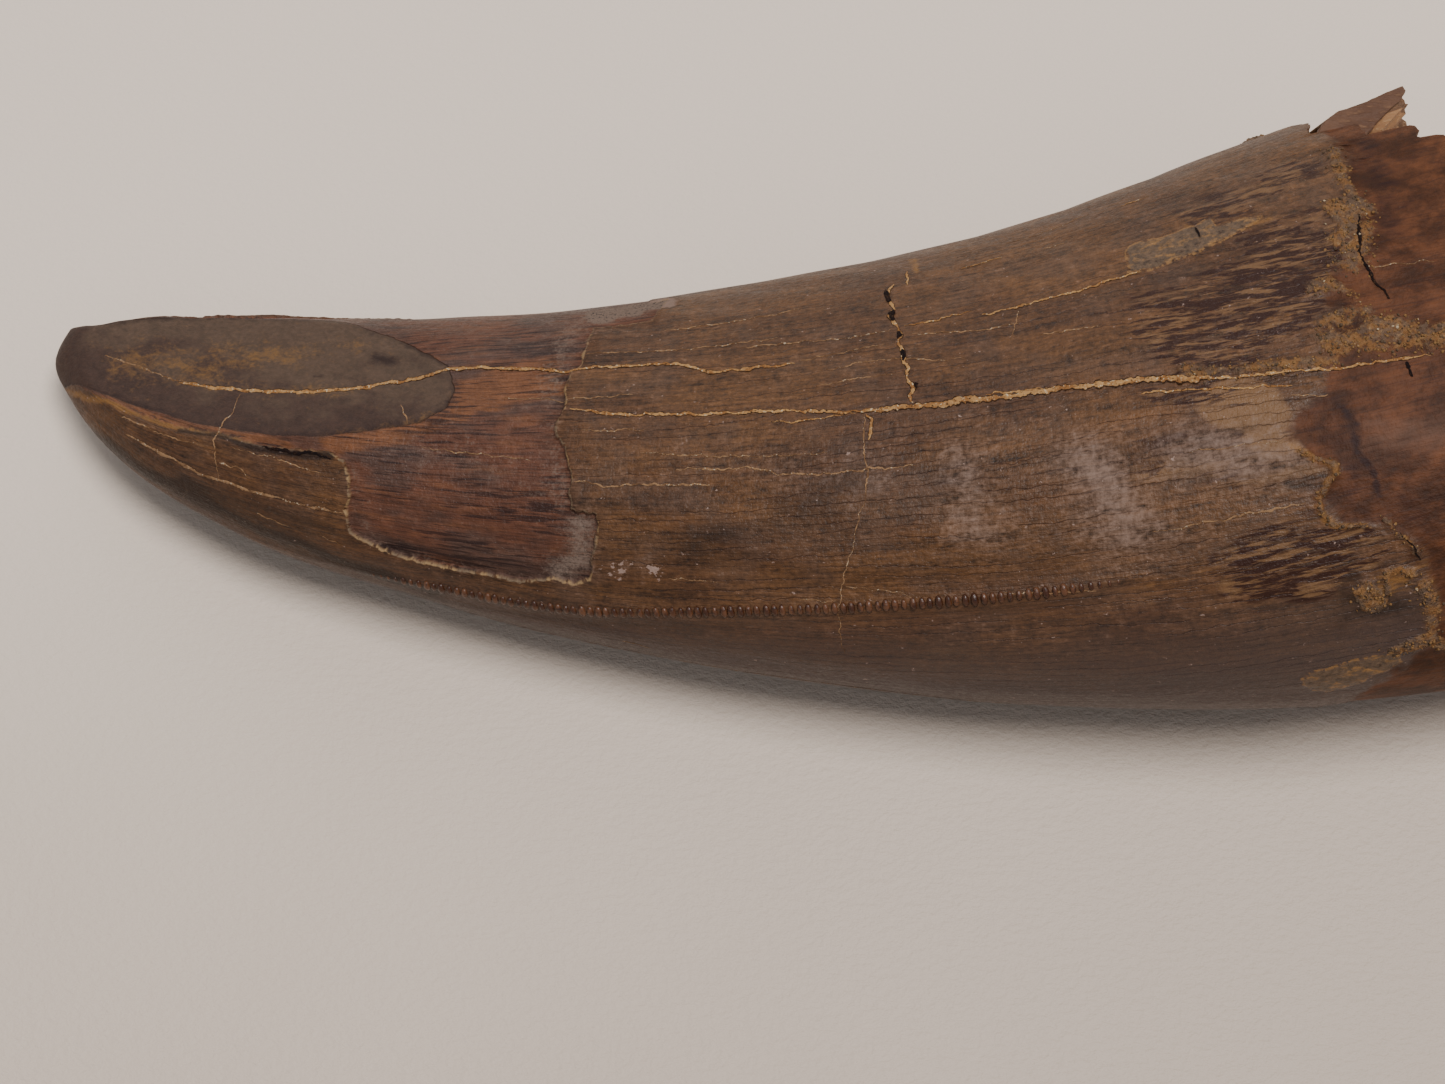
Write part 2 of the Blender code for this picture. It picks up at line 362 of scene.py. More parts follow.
class FlatSkin:
    """The tooth's skin laid flat: length along the axis by length round the section, 0 at the mesial edge."""

    LOW, HIGH = -90.0, 270.0
    LENGTH = 120
    ROWS_A_MILLIMETRE = 2
    HIDDEN = 1e6
    ROUNDS = 3
    NUDGE = 0.1
    LEAST_SPREAD = 2.0

    def __init__(self, form: ToothForm, view: PhotoView) -> None:
        """Measures the skin on an even grid.

        Args:
            form: the tooth.
            view: the photograph's camera.
        """
        self.form, self.view = form, view
        self.stations = np.linspace(0, self.LENGTH, self.LENGTH * self.ROWS_A_MILLIMETRE + 1)
        self.angles = np.linspace(self.LOW, self.HIGH, 361)
        places = form.surface(*np.meshgrid(self.stations, self.angles, indexing="ij"))
        steps = np.linalg.norm(np.diff(places, axis=1), axis=-1)
        across = np.concatenate([np.zeros((len(self.stations), 1)), np.cumsum(steps, axis=1)], axis=1)
        self.across = across - across[:, [np.searchsorted(self.angles, 0.0)]]
        self.seen = view.project(places)
        outward = np.cross(np.gradient(places, axis=0), np.gradient(places, axis=1))
        self.hidden = np.where(((view.eye() - places) * outward).sum(-1) > 0, 0.0, self.HIDDEN)

    def flat(self, station: np.ndarray, angle: np.ndarray) -> np.ndarray:
        """Lays places flat.

        Args:
            station, angle: places on the skin.

        Returns:
            Length along and length round, in pairs.
        """
        turn = (np.asarray(angle, float) - self.LOW) % 360
        row = np.asarray(station, float) * self.ROWS_A_MILLIMETRE
        row = np.clip(row, 0, len(self.stations) - 1.001)
        i, j = row.astype(int), np.clip(turn, 0, 359.999).astype(int)
        a, b = row - i, turn - j
        near = self.across[i, j] * (1 - b) + self.across[i, j + 1] * b
        far = self.across[i + 1, j] * (1 - b) + self.across[i + 1, j + 1] * b
        return np.stack(np.broadcast_arrays(station, near * (1 - a) + far * a), axis=-1)

    def under_pixels(self, pixels: Pixels) -> tuple[np.ndarray, np.ndarray]:
        """Finds the place on the skin that the photograph shows at each pixel.

        Args:
            pixels: pixels of the photograph, on the tooth.

        Returns:
            Stations and angles.
        """
        wanted = np.asarray(pixels, float).reshape(-1, 2)
        station, angle = np.empty(len(wanted)), np.empty(len(wanted))
        for k, pixel in enumerate(wanted):
            gap = ((self.seen - pixel) ** 2).sum(-1) + self.hidden
            i, j = np.unravel_index(np.argmin(gap), gap.shape)
            station[k], angle[k] = self.stations[i], self.angles[j]
        for _ in range(self.ROUNDS):
            here = self.pixel(station, angle)
            by_station = (self.pixel(station + self.NUDGE, angle) - here) / self.NUDGE
            by_angle = (self.pixel(station, angle + self.NUDGE) - here) / self.NUDGE
            miss = wanted - here
            spread = by_station[:, 0] * by_angle[:, 1] - by_station[:, 1] * by_angle[:, 0]
            spread = np.where(abs(spread) < self.LEAST_SPREAD, np.inf, spread)
            along = (miss[:, 0] * by_angle[:, 1] - miss[:, 1] * by_angle[:, 0]) / spread
            turn = (miss[:, 1] * by_station[:, 0] - miss[:, 0] * by_station[:, 1]) / spread
            station = np.clip(station + np.clip(along, -1, 1), 0.05, 119)
            angle = angle + np.clip(turn, -3, 3)
        return station, angle

    def pixel(self, station: np.ndarray, angle: np.ndarray) -> np.ndarray:
        """The pixels of places on the skin."""
        return self.view.project(self.form.surface(station, angle))


def from_segment(points: np.ndarray, start: np.ndarray, end: np.ndarray) -> np.ndarray:
    """The distance of each point from a straight piece of line."""
    run = end - start
    t = np.clip(((points - start) @ run) / max(run @ run, 1e-12), 0, 1)
    return np.linalg.norm(points - start - t[:, None] * run, axis=1)


def signed_distance(points: np.ndarray, corners: np.ndarray) -> np.ndarray:
    """The distance from a closed outline, positive inside it.

    Args:
        points: places on a plane.
        corners: the outline's corners in order.

    Returns:
        One distance for each point.
    """
    nearest = np.full(len(points), np.inf)
    inside = np.zeros(len(points), bool)
    for a, b in zip(corners, np.roll(corners, -1, axis=0)):
        run = b - a
        nearest = np.minimum(nearest, from_segment(points, a, b))
        crosses = (a[1] > points[:, 1]) != (b[1] > points[:, 1])
        if abs(run[1]) > 1e-12:
            inside ^= crosses & (points[:, 0] < a[0] + run[0] * (points[:, 1] - a[1]) / run[1])
    return np.where(inside, nearest, -nearest)


def line_distance(points: np.ndarray, line: np.ndarray, reach: float) -> np.ndarray:
    """The distance from a broken line.

    Args:
        points: places on a plane.
        line: the line's points in order.
        reach: places further away than this may be given any larger distance.

    Returns:
        One distance for each point.
    """
    nearest = np.full(len(points), np.inf)
    low, high = line.min(0) - reach, line.max(0) + reach
    near = np.nonzero(((points >= low) & (points <= high)).all(1))[0]
    here = points[near]
    best = np.full(len(near), np.inf)
    for a, b in zip(line[:-1], line[1:]):
        best = np.minimum(best, from_segment(here, a, b))
    nearest[near] = best
    return nearest


class Stain(Enum):
    """The kinds of mark in the fossil, some with painted light and shade in them. Each is a number from 0 to
    1 at every point of the skin.
    """

    DARK = "dark"
    TAN = "tan"
    OCHRE = "ochre"
    HAZE_AND_SHEEN = "haze_and_sheen"
    PALE = "pale"
    DASHES = "dashes"
    SPECKS = "specks"
    RED = "red"
    CRUST = "crust"


@dataclass(frozen=True)
class Stroke:
    """A mark along a line, in pixels of the photograph, or in stations and angles where unseen."""

    stain: Stain
    line: Pixels
    radius: float
    fade: float = 1.0
    strength: float = 1.0
    unseen: bool = False


class CrackKind(Enum):
    """What is in a crack."""

    FILLED = "crack_filling"
    HAIR = "hairline_cracks"
    # Open cracks are dark strips: painted shadow standing in for the gap.
    OPEN = "open_cracks"


@dataclass(frozen=True)
class Crack:
    """A crack along a line, in pixels of the photograph, or in stations and angles where unseen."""

    kind: CrackKind
    line: Pixels
    width: float
    unseen: bool = False


CHIP_SEEN: Pixels = (
    (58, 374), (75, 384), (113, 400), (150, 415), (178, 425), (216, 429), (254, 444), (283, 449), (328, 451),
    (338, 458), (345, 464), (350, 488), (346, 511), (351, 535), (366, 542), (392, 555), (421, 564),
    (451, 570), (489, 577), (520, 583), (555, 580), (573, 585), (589, 580), (593, 553), (597, 535),
    (597, 514), (570, 510), (571, 477), (565, 445), (556, 436), (558, 418), (565, 409), (565, 390),
    (570, 372), (581, 363), (590, 335), (595, 328), (652, 320), (669, 299),
)
CHIP_UNSEEN: Pixels = (
    (45.5, 150), (45.5, 176), (40, 181), (30, 178), (20, 173), (10, 168), (3, 160), (1, 60), (2, 0),
)

WORN_SEEN: Pixels = (
    (61, 383), (80, 386), (113, 395), (157, 410), (216, 426), (263, 433), (304, 436), (363, 430), (421, 420),
    (445, 406), (455, 388), (448, 363), (418, 344), (400, 334), (377, 326),
)
WORN_STATIONS: tuple[float, ...] = (22, 17, 12, 8, 5, 3)
WORN_TIP: Pixels = ((1.4, 268), (0, 269), (0, -89), (1.1, -88), (0.9, -50))

PATCHES_SEEN: tuple[Pixels, ...] = (
    ((1125, 250), (1132, 244), (1157, 238), (1182, 230), (1211, 218), (1217, 226), (1240, 219), (1265, 215),
     (1244, 231), (1207, 248), (1178, 260), (1151, 271), (1128, 274)),
    ((1301, 680), (1308, 672), (1328, 668), (1351, 660), (1384, 653), (1399, 649), (1402, 663), (1386, 671),
     (1372, 674), (1364, 681), (1339, 689), (1326, 692), (1313, 691), (1303, 685)),
)

CARINA_SEEN: Pixels = (
    (4, -8), (20, -2), (31.6, 9), (34.6, 12), (37.6, 14), (41.9, 17), (45.9, 21), (51.9, 28), (56.9, 33),
    (60.7, 36), (66.2, 40), (71.7, 43), (80, 47.5),
)
CARINA_UNSEEN: Pixels = ((4, 200), (20, 194), (50, 188), (93, 186))


@dataclass(frozen=True)
class Carina:
    """A serrated keel along the tooth, as stations and angles, and the stretch that has serrations."""

    line: Pixels
    serrated: tuple[float, float]
    half_width: float = 0.5
    height: float = 0.16
    worn_height: float = 0.1
    grows: Pair = (3, 8)
    run_in: float = 3
    run_out: float = 5
    hollow_depth: float = 0.10
    hollow_place: float = 1.5
    hollow_spread: float = 0.5

    def angle(self, station: np.ndarray) -> np.ndarray:
        """The keel's angle at each station."""
        places, angles = zip(*self.line)
        return smooth_through(np.asarray(station, float), places, angles)

    def turn_from(self, station: np.ndarray, angle: np.ndarray) -> np.ndarray:
        """The angles from the keel's middle to places on the skin, either way round."""
        return (angle - self.angle(station) + 180) % 360 - 180

    def rise(self, station: np.ndarray, across: np.ndarray) -> np.ndarray:
        """How far the keel stands out.

        Args:
            station: places along it.
            across: how far they lie to the side of its middle.

        Returns:
            The height over the plain surface, negative in the hollows beside the keel.
        """
        start, stop = self.serrated
        ends = smooth_step(station, *self.grows) * (1 - smooth_step(station, stop, stop + self.run_out))
        full = smooth_step(station, start - self.run_in, start + self.run_out)
        height = self.worn_height + (self.height - self.worn_height) * full
        shape = np.exp(-((across / self.half_width) ** 2))
        aside = np.exp(-((np.abs(across) - self.hollow_place) ** 2) / self.hollow_spread)
        return ends * (height * shape - self.hollow_depth * aside * full)


MESIAL = Carina(CARINA_SEEN, (30.5, 79.5))
DISTAL = Carina(CARINA_UNSEEN, (9, 93))


@dataclass(frozen=True)
class Relief:
    """How deep and high the marks of time are. A pair of stations, angles or lengths bounds a soft step."""

    chip_waves: Waves = ((1.1, 4, 0.10), (0.45, 5, 0.04))
    chip_step: Pair = (-0.05, 0.14)
    chip_stations: Pair = (4, 13)
    far_angles: Pair = (98, 118)
    far_stations: Pair = (24, 32)
    far_filling: float = 0.75
    worn_waves: Waves = ((1.6, 8, 0.06),)
    nose_reach: float = 1.5
    nose_stations: Pair = (0.4, 3.5)
    patch_waves: Waves = ((1.3, 9, 0.07), (0.5, 10, 0.04))
    patch_step: Pair = (-0.05, 0.15)
    patch_height: float = 0.05
    root_waves: Waves = ((2.6, 6, 0.5), (0.9, 7, 0.18))
    root_step: Pair = (-0.3, 0.8)
    root_loss: float = 0.4
    swell_length: float = 5.0
    swell_stretch: float = 2.2
    swell_height: float = 0.05
    crust_base: float = 0.02
    lump_length: float = 0.9
    lump_height: float = 0.20
    crumb_length: float = 0.42
    crumb_height: float = 0.16
    smear_length: float = 3.0
    smear_share: float = 0.35
    smear_most: float = 0.5
    facet_end: float = 45
    facet_sides: Pair = (-2.5, -1.0)
    facet_softness: float = 0.1
    nose_softness: float = 0.3
    soft_stations: Pair = (0, 6)
    nose_wear: float = 0.5
    wear_stations: Pair = (0.0, 5.0)
    off_facet: float = -3.0


class WornSkin:
    """The tooth's outside with what time did to it: the chip, the worn facet, the bare root."""

    def __init__(self, form: ToothForm, view: PhotoView, strokes: tuple[Stroke, ...]) -> None:
        """Lays the outlines flat.

        Args:
            form: the smooth tooth.
            view: the photograph's camera.
            strokes: the marks on it.
        """
        self.form, self.relief = form, Relief()
        self.sheet = FlatSkin(form, view)
        self.chip_outline = self.lay_outline((CHIP_SEEN, False), (CHIP_UNSEEN, True))
        self.worn_outline = self.lay_outline((WORN_SEEN, False), (self.far_edge(), True), (WORN_TIP, True))
        self.patches = [self.lay_outline((outline, False)) for outline in PATCHES_SEEN]
        self.strokes = [(stroke, self.lay_outline((stroke.line, stroke.unseen))) for stroke in strokes]

    def far_edge(self) -> Pixels:
        """Where the wear facet ends on the side that the photograph doesn't show, as stations and angles.

        Returns:
            The edge's points.
        """
        angles = np.linspace(90, 265, 351)
        edge = []
        for station in WORN_STATIONS:
            over = self.form.over_facet(self.form.surface(np.full(angles.shape, float(station)), angles))[0]
            edge.append((station, float(angles[over > 0].max()) if (over > 0).any() else 150.0))
        return tuple(edge)

    def lay_outline(self, *lines: tuple[Pixels, bool]) -> np.ndarray:
        """Lines end to end on the flat skin, each with whether it is in stations and angles."""
        return np.concatenate([self.sheet.flat(*self.find_line(line, unseen)) for line, unseen in lines])

    def find_line(self, line: Pixels, unseen: bool) -> tuple[np.ndarray, np.ndarray]:
        """The stations and angles of a line's points."""
        if unseen:
            points = np.array(line, float)
            return points[:, 0], points[:, 1]
        return self.sheet.under_pixels(line)

    def inside(
        self, outlines: list[np.ndarray], waves: Waves, station: np.ndarray, angle: np.ndarray
    ) -> np.ndarray:
        """The distance inside the nearest of some ragged outlines.

        Args:
            outlines: the outlines on the flat skin.
            waves: what makes their edges ragged.
            station, angle: places on the skin.

        Returns:
            One distance for each place, negative outside.
        """
        flat = self.sheet.flat(station, angle).reshape(-1, 2)
        nearest = np.max([signed_distance(flat, outline) for outline in outlines], axis=0)
        return (nearest + ragged(flat, waves)).reshape(np.shape(station))

    def chip(self, station: np.ndarray, angle: np.ndarray) -> np.ndarray:
        """The distance inside the chip's ragged edge."""
        return self.inside([self.chip_outline], self.relief.chip_waves, station, angle)

    def worn(self, station: np.ndarray, angle: np.ndarray) -> np.ndarray:
        """The distance inside the outline of the worn face, which takes in the whole nose."""
        nose = 1 - smooth_step(station, *self.relief.nose_stations)
        inside = self.inside([self.worn_outline], self.relief.worn_waves, station, angle)
        return inside + self.relief.nose_reach * nose

    def patch(self, station: np.ndarray, angle: np.ndarray) -> np.ndarray:
        """The distance inside the nearest patch of smooth mineral."""
        return self.inside(self.patches, self.relief.patch_waves, station, angle)

    def bare_root(self, station: np.ndarray, angle: np.ndarray) -> np.ndarray:
        """The distance past the enamel's end, towards the root."""
        uneven = ragged(self.sheet.flat(station, angle), self.relief.root_waves)
        return station - self.form.around(angle, self.form.base_angles, self.form.base) + uneven

    def stain(self, kind: Stain, station: np.ndarray, angle: np.ndarray) -> np.ndarray:
        """How strong one kind of mark is at places on the skin.

        Args:
            kind: which marks.
            station, angle: places on the skin.

        Returns:
            One strength from 0 to 1 for each place.
        """
        flat = self.sheet.flat(station, angle).reshape(-1, 2)
        smear = np.stack([ragged(flat, ((self.relief.smear_length, seed, 1),)) for seed in (11, 12)], -1)
        total = np.zeros(len(flat))
        for stroke, line in self.strokes:
            if stroke.stain is not kind:
                continue
            smeared = flat + smear * min(self.relief.smear_share * stroke.radius, self.relief.smear_most)
            gap = line_distance(smeared, line, stroke.radius + stroke.fade + 1)
            off = smooth_step(gap, stroke.radius - stroke.fade, stroke.radius + stroke.fade)
            mark = stroke.strength * (1 - off)
            total = np.maximum(total, mark) if kind is Stain.CRUST else total + mark * (1 - total)
        return total.reshape(np.shape(station))

    def keel_rise(self, station: np.ndarray, angle: np.ndarray) -> np.ndarray:
        """How far the keels stand above the plain surface."""
        rise = np.zeros(np.shape(station))
        for keel in (MESIAL, DISTAL):
            middle = keel.angle(station)
            side = self.form.surface(station, middle + 0.5) - self.form.surface(station, middle - 0.5)
            rise = rise + keel.rise(station, keel.turn_from(station, angle) * np.linalg.norm(side, axis=-1))
        return rise

    def inset(self, station: np.ndarray, angle: np.ndarray) -> np.ndarray:
        """How far the skin lies under the unworn enamel, before the facet is worn in.

        Args:
            station, angle: places on the skin.

        Returns:
            One depth for each place.
        """
        sizes = self.relief
        chipped = smooth_step(self.chip(station, angle), *sizes.chip_step)
        chipped = chipped * smooth_step(station, *sizes.chip_stations)
        filled = sizes.far_filling * smooth_step(angle, *sizes.far_angles)
        filled = filled * smooth_step(station, *sizes.far_stations)
        root = smooth_step(self.bare_root(station, angle), *sizes.root_step)
        lost = np.maximum(chipped * (1 - filled), sizes.root_loss * root)
        flat = self.sheet.flat(station, angle)
        swell = ripple(flat[..., 0] / sizes.swell_stretch, flat[..., 1], sizes.swell_length, 21)
        swell = swell * sizes.swell_height
        lumps = 0.5 + 0.5 * ripple(flat[..., 0], flat[..., 1], sizes.lump_length, 22)
        crumbs = 0.5 + 0.5 * ripple(flat[..., 0], flat[..., 1], sizes.crumb_length, 23)
        thick = sizes.crust_base + sizes.lump_height * lumps + sizes.crumb_height * crumbs
        patch = smooth_step(self.patch(station, angle), *sizes.patch_step) * sizes.patch_height
        rise = self.keel_rise(station, angle) + self.stain(Stain.CRUST, station, angle) * thick + patch
        return lost * self.form.enamel + swell - rise

    def place(self, station: np.ndarray, angle: np.ndarray) -> np.ndarray:
        """Places of the worn skin in the model, in millimetres.

        Args:
            station, angle: places on the skin.

        Returns:
            The places.
        """
        sizes = self.relief
        station, angle = np.asarray(station, float), np.asarray(angle, float)
        skin = self.form.bend(self.form.straight(station, angle, self.inset(station, angle), 1.0))
        over, out = self.form.over_facet(skin)
        soft = sizes.facet_softness + sizes.nose_softness * (1 - smooth_step(station, *sizes.soft_stations))
        worn = np.where(station < sizes.facet_end, 0.5 * (over + np.sqrt(over**2 + soft**2)), 0.0)
        nose = sizes.nose_wear + (1 - sizes.nose_wear) * smooth_step(station, *sizes.wear_stations)
        worn = worn * smooth_step(over, *sizes.facet_sides) * nose
        skin = skin - worn[..., None] * out
        skin[..., 2] = np.maximum(skin[..., 2], 0.0)
        return skin

    def facet(self, station: np.ndarray, angle: np.ndarray) -> np.ndarray:
        """How deep the wear has gone at places on the skin, negative off the facet."""
        over = self.form.over_facet(self.form.surface(station, angle, self.form.enamel))[0]
        return np.where(station < self.relief.facet_end, over, self.relief.off_facet)

    def outward(self, station: np.ndarray, angle: np.ndarray) -> np.ndarray:
        """The direction straight out of the plain surface."""
        along = self.form.surface(station + 0.2, angle) - self.form.surface(station - 0.2, angle)
        side = self.form.surface(station, angle + 1) - self.form.surface(station, angle - 1)
        return unit(np.cross(along, side))


def make_object(name: str, points: np.ndarray, faces: list[tuple[int, ...]]) -> bpy.types.Object:
    """Adds a mesh object at the origin.

    Args:
        name: its name.
        points: its points, in millimetres.
        faces: each face's points, in order, seen from outside.

    Returns:
        The new object.
    """
    mesh = bpy.data.meshes.new(name)
    mesh.from_pydata((np.asarray(points) * MM).tolist(), [], faces)
    mesh.polygons.foreach_set("use_smooth", np.ones(len(mesh.polygons), bool))
    mesh.update()
    piece = bpy.data.objects.new(name, mesh)
    bpy.context.scene.collection.objects.link(piece)
    return piece


def give_numbers(piece: bpy.types.Object, name: str, values: np.ndarray) -> None:
    """Stores a number or a vector at every point of a piece, for its material to read.

    Args:
        piece: the piece.
        name: what the material asks for.
        values: one for each point.
    """
    kind = "FLOAT" if values.ndim == 1 else "FLOAT_VECTOR"
    layer = piece.data.attributes.new(name, kind, "POINT")
    field = "value" if values.ndim == 1 else "vector"
    layer.data.foreach_set(field, np.ascontiguousarray(values, float).ravel())


@dataclass(frozen=True)
class SkinGrid:
    """How finely the skin is divided: cells of the whole skin, halved again and again near its edges."""

    rows: int = 120
    columns: int = 120
    halvings: int = 3
    first_station: float = 88.0
    last_station: float = 120.0

    def stations(self, share: np.ndarray, rim: np.ndarray) -> np.ndarray:
        """Stations at shares of the way to the broken rim, closing up past the first one to meet it.

        Args:
            share: from 0 at the tip to 1 at the rim.
            rim: the station of the rim.

        Returns:
            The stations.
        """
        first = self.first_station
        plain = share * self.last_station
        part = (plain - first) / (self.last_station - first)
        return np.where(plain < first, plain, first + part * (rim - first))


@dataclass(frozen=True)
class ToothBody:
    """The whole tooth as one closed mesh: skin, broken rim and pulp cavity.

    The reaches say how near an edge a cell is halved, the first time and after.
    """

    skin: WornSkin
    grid: SkinGrid = SkinGrid()
    seen: Pair = (-32, 210)
    chip_reach: tuple[float, float, float] = (2, 0.6, 0.2)
    patch_reach: Pair = (0.35, 0.18)
    root_reach: Pair = (2.5, 0.9)
    keel_reach: Pair = (14, 4)
    rim_reach: Pair = (6, 1.5)
    tip_reach: Pair = (14, 5)
    facet_reach: float = 0.25
    worn_depth: float = 0.3
    crust_least: float = 0.04
    splinters: tuple[Pair, Pair] = ((4.0, 0.45), (1.1, 0.22))
    rim_inset: float = 0.3
    lip_inset: float = 0.25
    break_rings: int = 3
    break_depth: float = 0.5
    pulp_rings: int = 12
    pulp_waves: float = 0.12
    torn: tuple[float, float, float] = (183.6, 186.4, 100.5)
    grounded: Pair = (0.3, 0.8)

    def lips(self, angle: np.ndarray) -> tuple[np.ndarray, np.ndarray]:
        """Coordinates round the broken rim, for its waves."""
        turn = np.radians(angle)
        return np.cos(turn) * 20, np.sin(turn) * 15

    def rim(self, angle: np.ndarray) -> np.ndarray:
        """The station of the broken rim at each angle, with small splinters.

        Args:
            angle: the angles.

        Returns:
            The stations.
        """
        form = self.skin.form
        station = form.around(angle, form.rim_angles, form.rim) - self.rim_inset
        for seed, (length, height) in enumerate(self.splinters, start=31):
            station = station + ripple(*self.lips(angle), length, seed) * height
        return station

    def wanted(self, level: int, station: np.ndarray, angle: np.ndarray) -> np.ndarray:
        """Which cells of a level are to be halved.

        Args:
            level: how often the cells were halved before.
            station, angle: the middles of the cells.

        Returns:
            True for each cell that an edge or a fine form passes through.
        """
        worn = self.skin.worn(station, angle)
        patch = np.abs(self.skin.patch(station, angle))
        chip = np.where(worn > self.worn_depth, np.inf, np.abs(self.skin.chip(station, angle)))
        small = chip < self.chip_reach[level]
        if level == 2:
            return small | (patch < self.patch_reach[1])
        root = np.abs(self.skin.bare_root(station, angle))
        keel = np.min([np.abs(carina.turn_from(station, angle)) for carina in (MESIAL, DISTAL)], axis=0)
        to_rim = self.rim(angle) - station
        small = small | (root < self.root_reach[level]) | (keel < self.keel_reach[level])
        small = small | (to_rim < self.rim_reach[level]) | (station < self.tip_reach[level])
        if level == 0:
            return small | ((angle > self.seen[0]) & (angle < self.seen[1]))
        facet = np.minimum(np.abs(self.skin.facet(station, angle)), np.abs(worn))
        crust = self.skin.stain(Stain.CRUST, station, angle)
        return small | (facet < self.facet_reach) | (crust > self.crust_least) | (patch < self.patch_reach[0])

    def leaves(self) -> list[np.ndarray]:
        """The cells that are left whole at each level, as pairs of row and column."""
        kept, alive = [], None
        for level in range(self.grid.halvings + 1):
            rows, columns = self.grid.rows << level, self.grid.columns << level
            if alive is None:
                row, column = np.meshgrid(np.arange(rows), np.arange(columns), indexing="ij")
                alive = np.stack([row.ravel(), column.ravel()], axis=-1)
            angle = FlatSkin.LOW + 360 * (alive[:, 1] + 0.5) / columns
            station = self.grid.stations((alive[:, 0] + 0.5) / rows, self.rim(angle))
            if level == self.grid.halvings:
                kept.append(alive)
                break
            split = self.wanted(level, station, angle)
            kept.append(alive[~split])
            parents = alive[split] * 2
            alive = np.concatenate([parents + step for step in ((0, 0), (0, 1), (1, 0), (1, 1))])
        return kept

    def skin_faces(self) -> tuple[np.ndarray, np.ndarray, list[tuple[int, ...]], list[int]]:
        """Divides the skin.

        Returns:
            The stations and angles of its points, its faces, and the points of its last row in order.
        """
        unit = 1 << self.grid.halvings
        rows, columns = self.grid.rows * unit, self.grid.columns * unit
        kept = self.leaves()
        used = np.zeros((rows + 1, columns), bool)
        for level, cells in enumerate(kept):
            size = unit >> level
            for down in (0, size):
                for right in (0, size):
                    used[cells[:, 0] * size + down, (cells[:, 1] * size + right) % columns] = True
        used[0] = False
        used[0, 0] = True
        number = np.full((rows + 1, columns), -1)
        number[used] = np.arange(used.sum())
        number[0] = number[0, 0]
        spots = np.argwhere(used).astype(float)
        faces: list[tuple[int, ...]] = []
        middles: list[tuple[float, float]] = []
        for level, cells in enumerate(kept):
            size = unit >> level
            for r, c in (cells * size).tolist():
                ring = [(r, c + k) for k in range(size)] + [(r + k, c + size) for k in range(size)]
                ring += [(r + size, c + size - k) for k in range(size)]
                ring += [(r + size - k, c) for k in range(size)]
                around = [number[i, j % columns] for i, j in ring if number[i, j % columns] >= 0]
                around = [p for k, p in enumerate(around) if p != around[k - 1]]
                if len(around) <= 4:
                    faces.append(tuple(reversed(around)))
                    continue
                middle = len(spots) + len(middles)
                middles.append((r + size / 2, c + size / 2))
                faces += [(middle, around[k], around[k - 1]) for k in range(len(around))]
        spots = np.concatenate([spots, np.array(middles)])
        angle = FlatSkin.LOW + 360 * spots[:, 1] / columns
        station = self.grid.stations(spots[:, 0] / rows, self.rim(angle))
        last = [int(p) for p in number[rows] if p >= 0]
        return station, angle, faces, last

    def inner_rings(self, turn: np.ndarray, rim: np.ndarray) -> list[tuple[np.ndarray, np.ndarray, float]]:
        """The rings of the broken wall and of the pulp cavity, from the rim inwards.

        Args:
            turn, rim: the angles and stations of the skin's last points.

        Returns:
            Each ring's stations, depths under the skin and share of the way out from the axis.
        """
        form, lips, rings = self.skin.form, self.lips(turn), []
        wall = form.around(turn, form.wall_angles, form.wall)
        for k in range(1, self.break_rings + 1):
            share = k / (self.break_rings + 1)
            depth = form.enamel + (wall - form.enamel) * share
            uneven = self.break_depth * ripple(lips[0] + depth, lips[1] - depth, 1.6, 33)
            rings.append((rim - self.lip_inset - uneven * math.sin(math.pi * share), depth, 1.0))
        for share in np.linspace(1, 0, self.pulp_rings, endpoint=False):
            where = form.pulp_apex + (rim - self.rim_inset - form.pulp_apex) * share
            uneven = self.pulp_waves * ripple(where, lips[0] + lips[1], 3.0, 34) * (share < 1)
            rings.append((where, wall + uneven, share**form.pulp_flare))
        return rings

    def build(self) -> bpy.types.Object:
        """Makes the mesh with its numbers.

        Returns:
            The tooth, its faces given material numbers for the skin, the break and the pulp cavity.
        """
        form, skin = self.skin.form, self.skin
        station, angle, faces, last = self.skin_faces()
        outside = len(faces)
        points = [skin.place(station, angle)]
        straight = [form.straight(station, angle, 0.0, 1.0)]
        row, total = last, len(station)
        for where, depth, share in self.inner_rings(angle[last], station[last]):
            straight.append(form.straight(where, angle[last], depth, share))
            points.append(form.bend(straight[-1]))
            new = list(range(total, total + len(last)))
            faces += [(row[k - 1], new[k - 1], new[k], row[k]) for k in range(len(new))]
            row, total = new, total + len(new)
        straight.append(form.straight(np.array([form.pulp_apex]), np.array([0.0]), 0.0, 0.0))
        points.append(form.bend(straight[-1]))
        faces += [(row[k - 1], total, row[k]) for k in range(len(row))]
        piece = make_object("tooth_body", np.concatenate(points), faces)
        inner = np.zeros(len(faces), np.int32)
        torn = (angle > self.torn[0]) & (angle < self.torn[1]) & (station > self.torn[2])
        inner[:outside] = [torn[list(face)].all() for face in faces[:outside]]
        inner[outside:] = 1
        inner[outside + len(last) * (self.break_rings + 1):] = 2
        piece.data.polygons.foreach_set("material_index", inner)
        piece.data.polygons.foreach_set("use_smooth", inner != 1)
        give_numbers(piece, "straight", np.concatenate(straight))
        give_numbers(piece, "fan", form.fan(np.concatenate(straight)))
        rest = np.full(total + 1 - len(station), -3.0)
        for edge in (skin.chip, skin.worn, skin.patch, skin.bare_root):
            give_numbers(piece, edge.__name__, np.concatenate([np.clip(edge(station, angle), -3, 3), rest]))
        clear = smooth_step(points[0][:, 2], *self.grounded)
        for kind in Stain:
            marks = skin.stain(kind, station, angle) * (clear if kind is Stain.CRUST else 1.0)
            give_numbers(piece, kind.value, np.concatenate([marks, rest * 0]))
        piece.data.set_sharp_from_angle(angle=math.radians(50))
        return piece


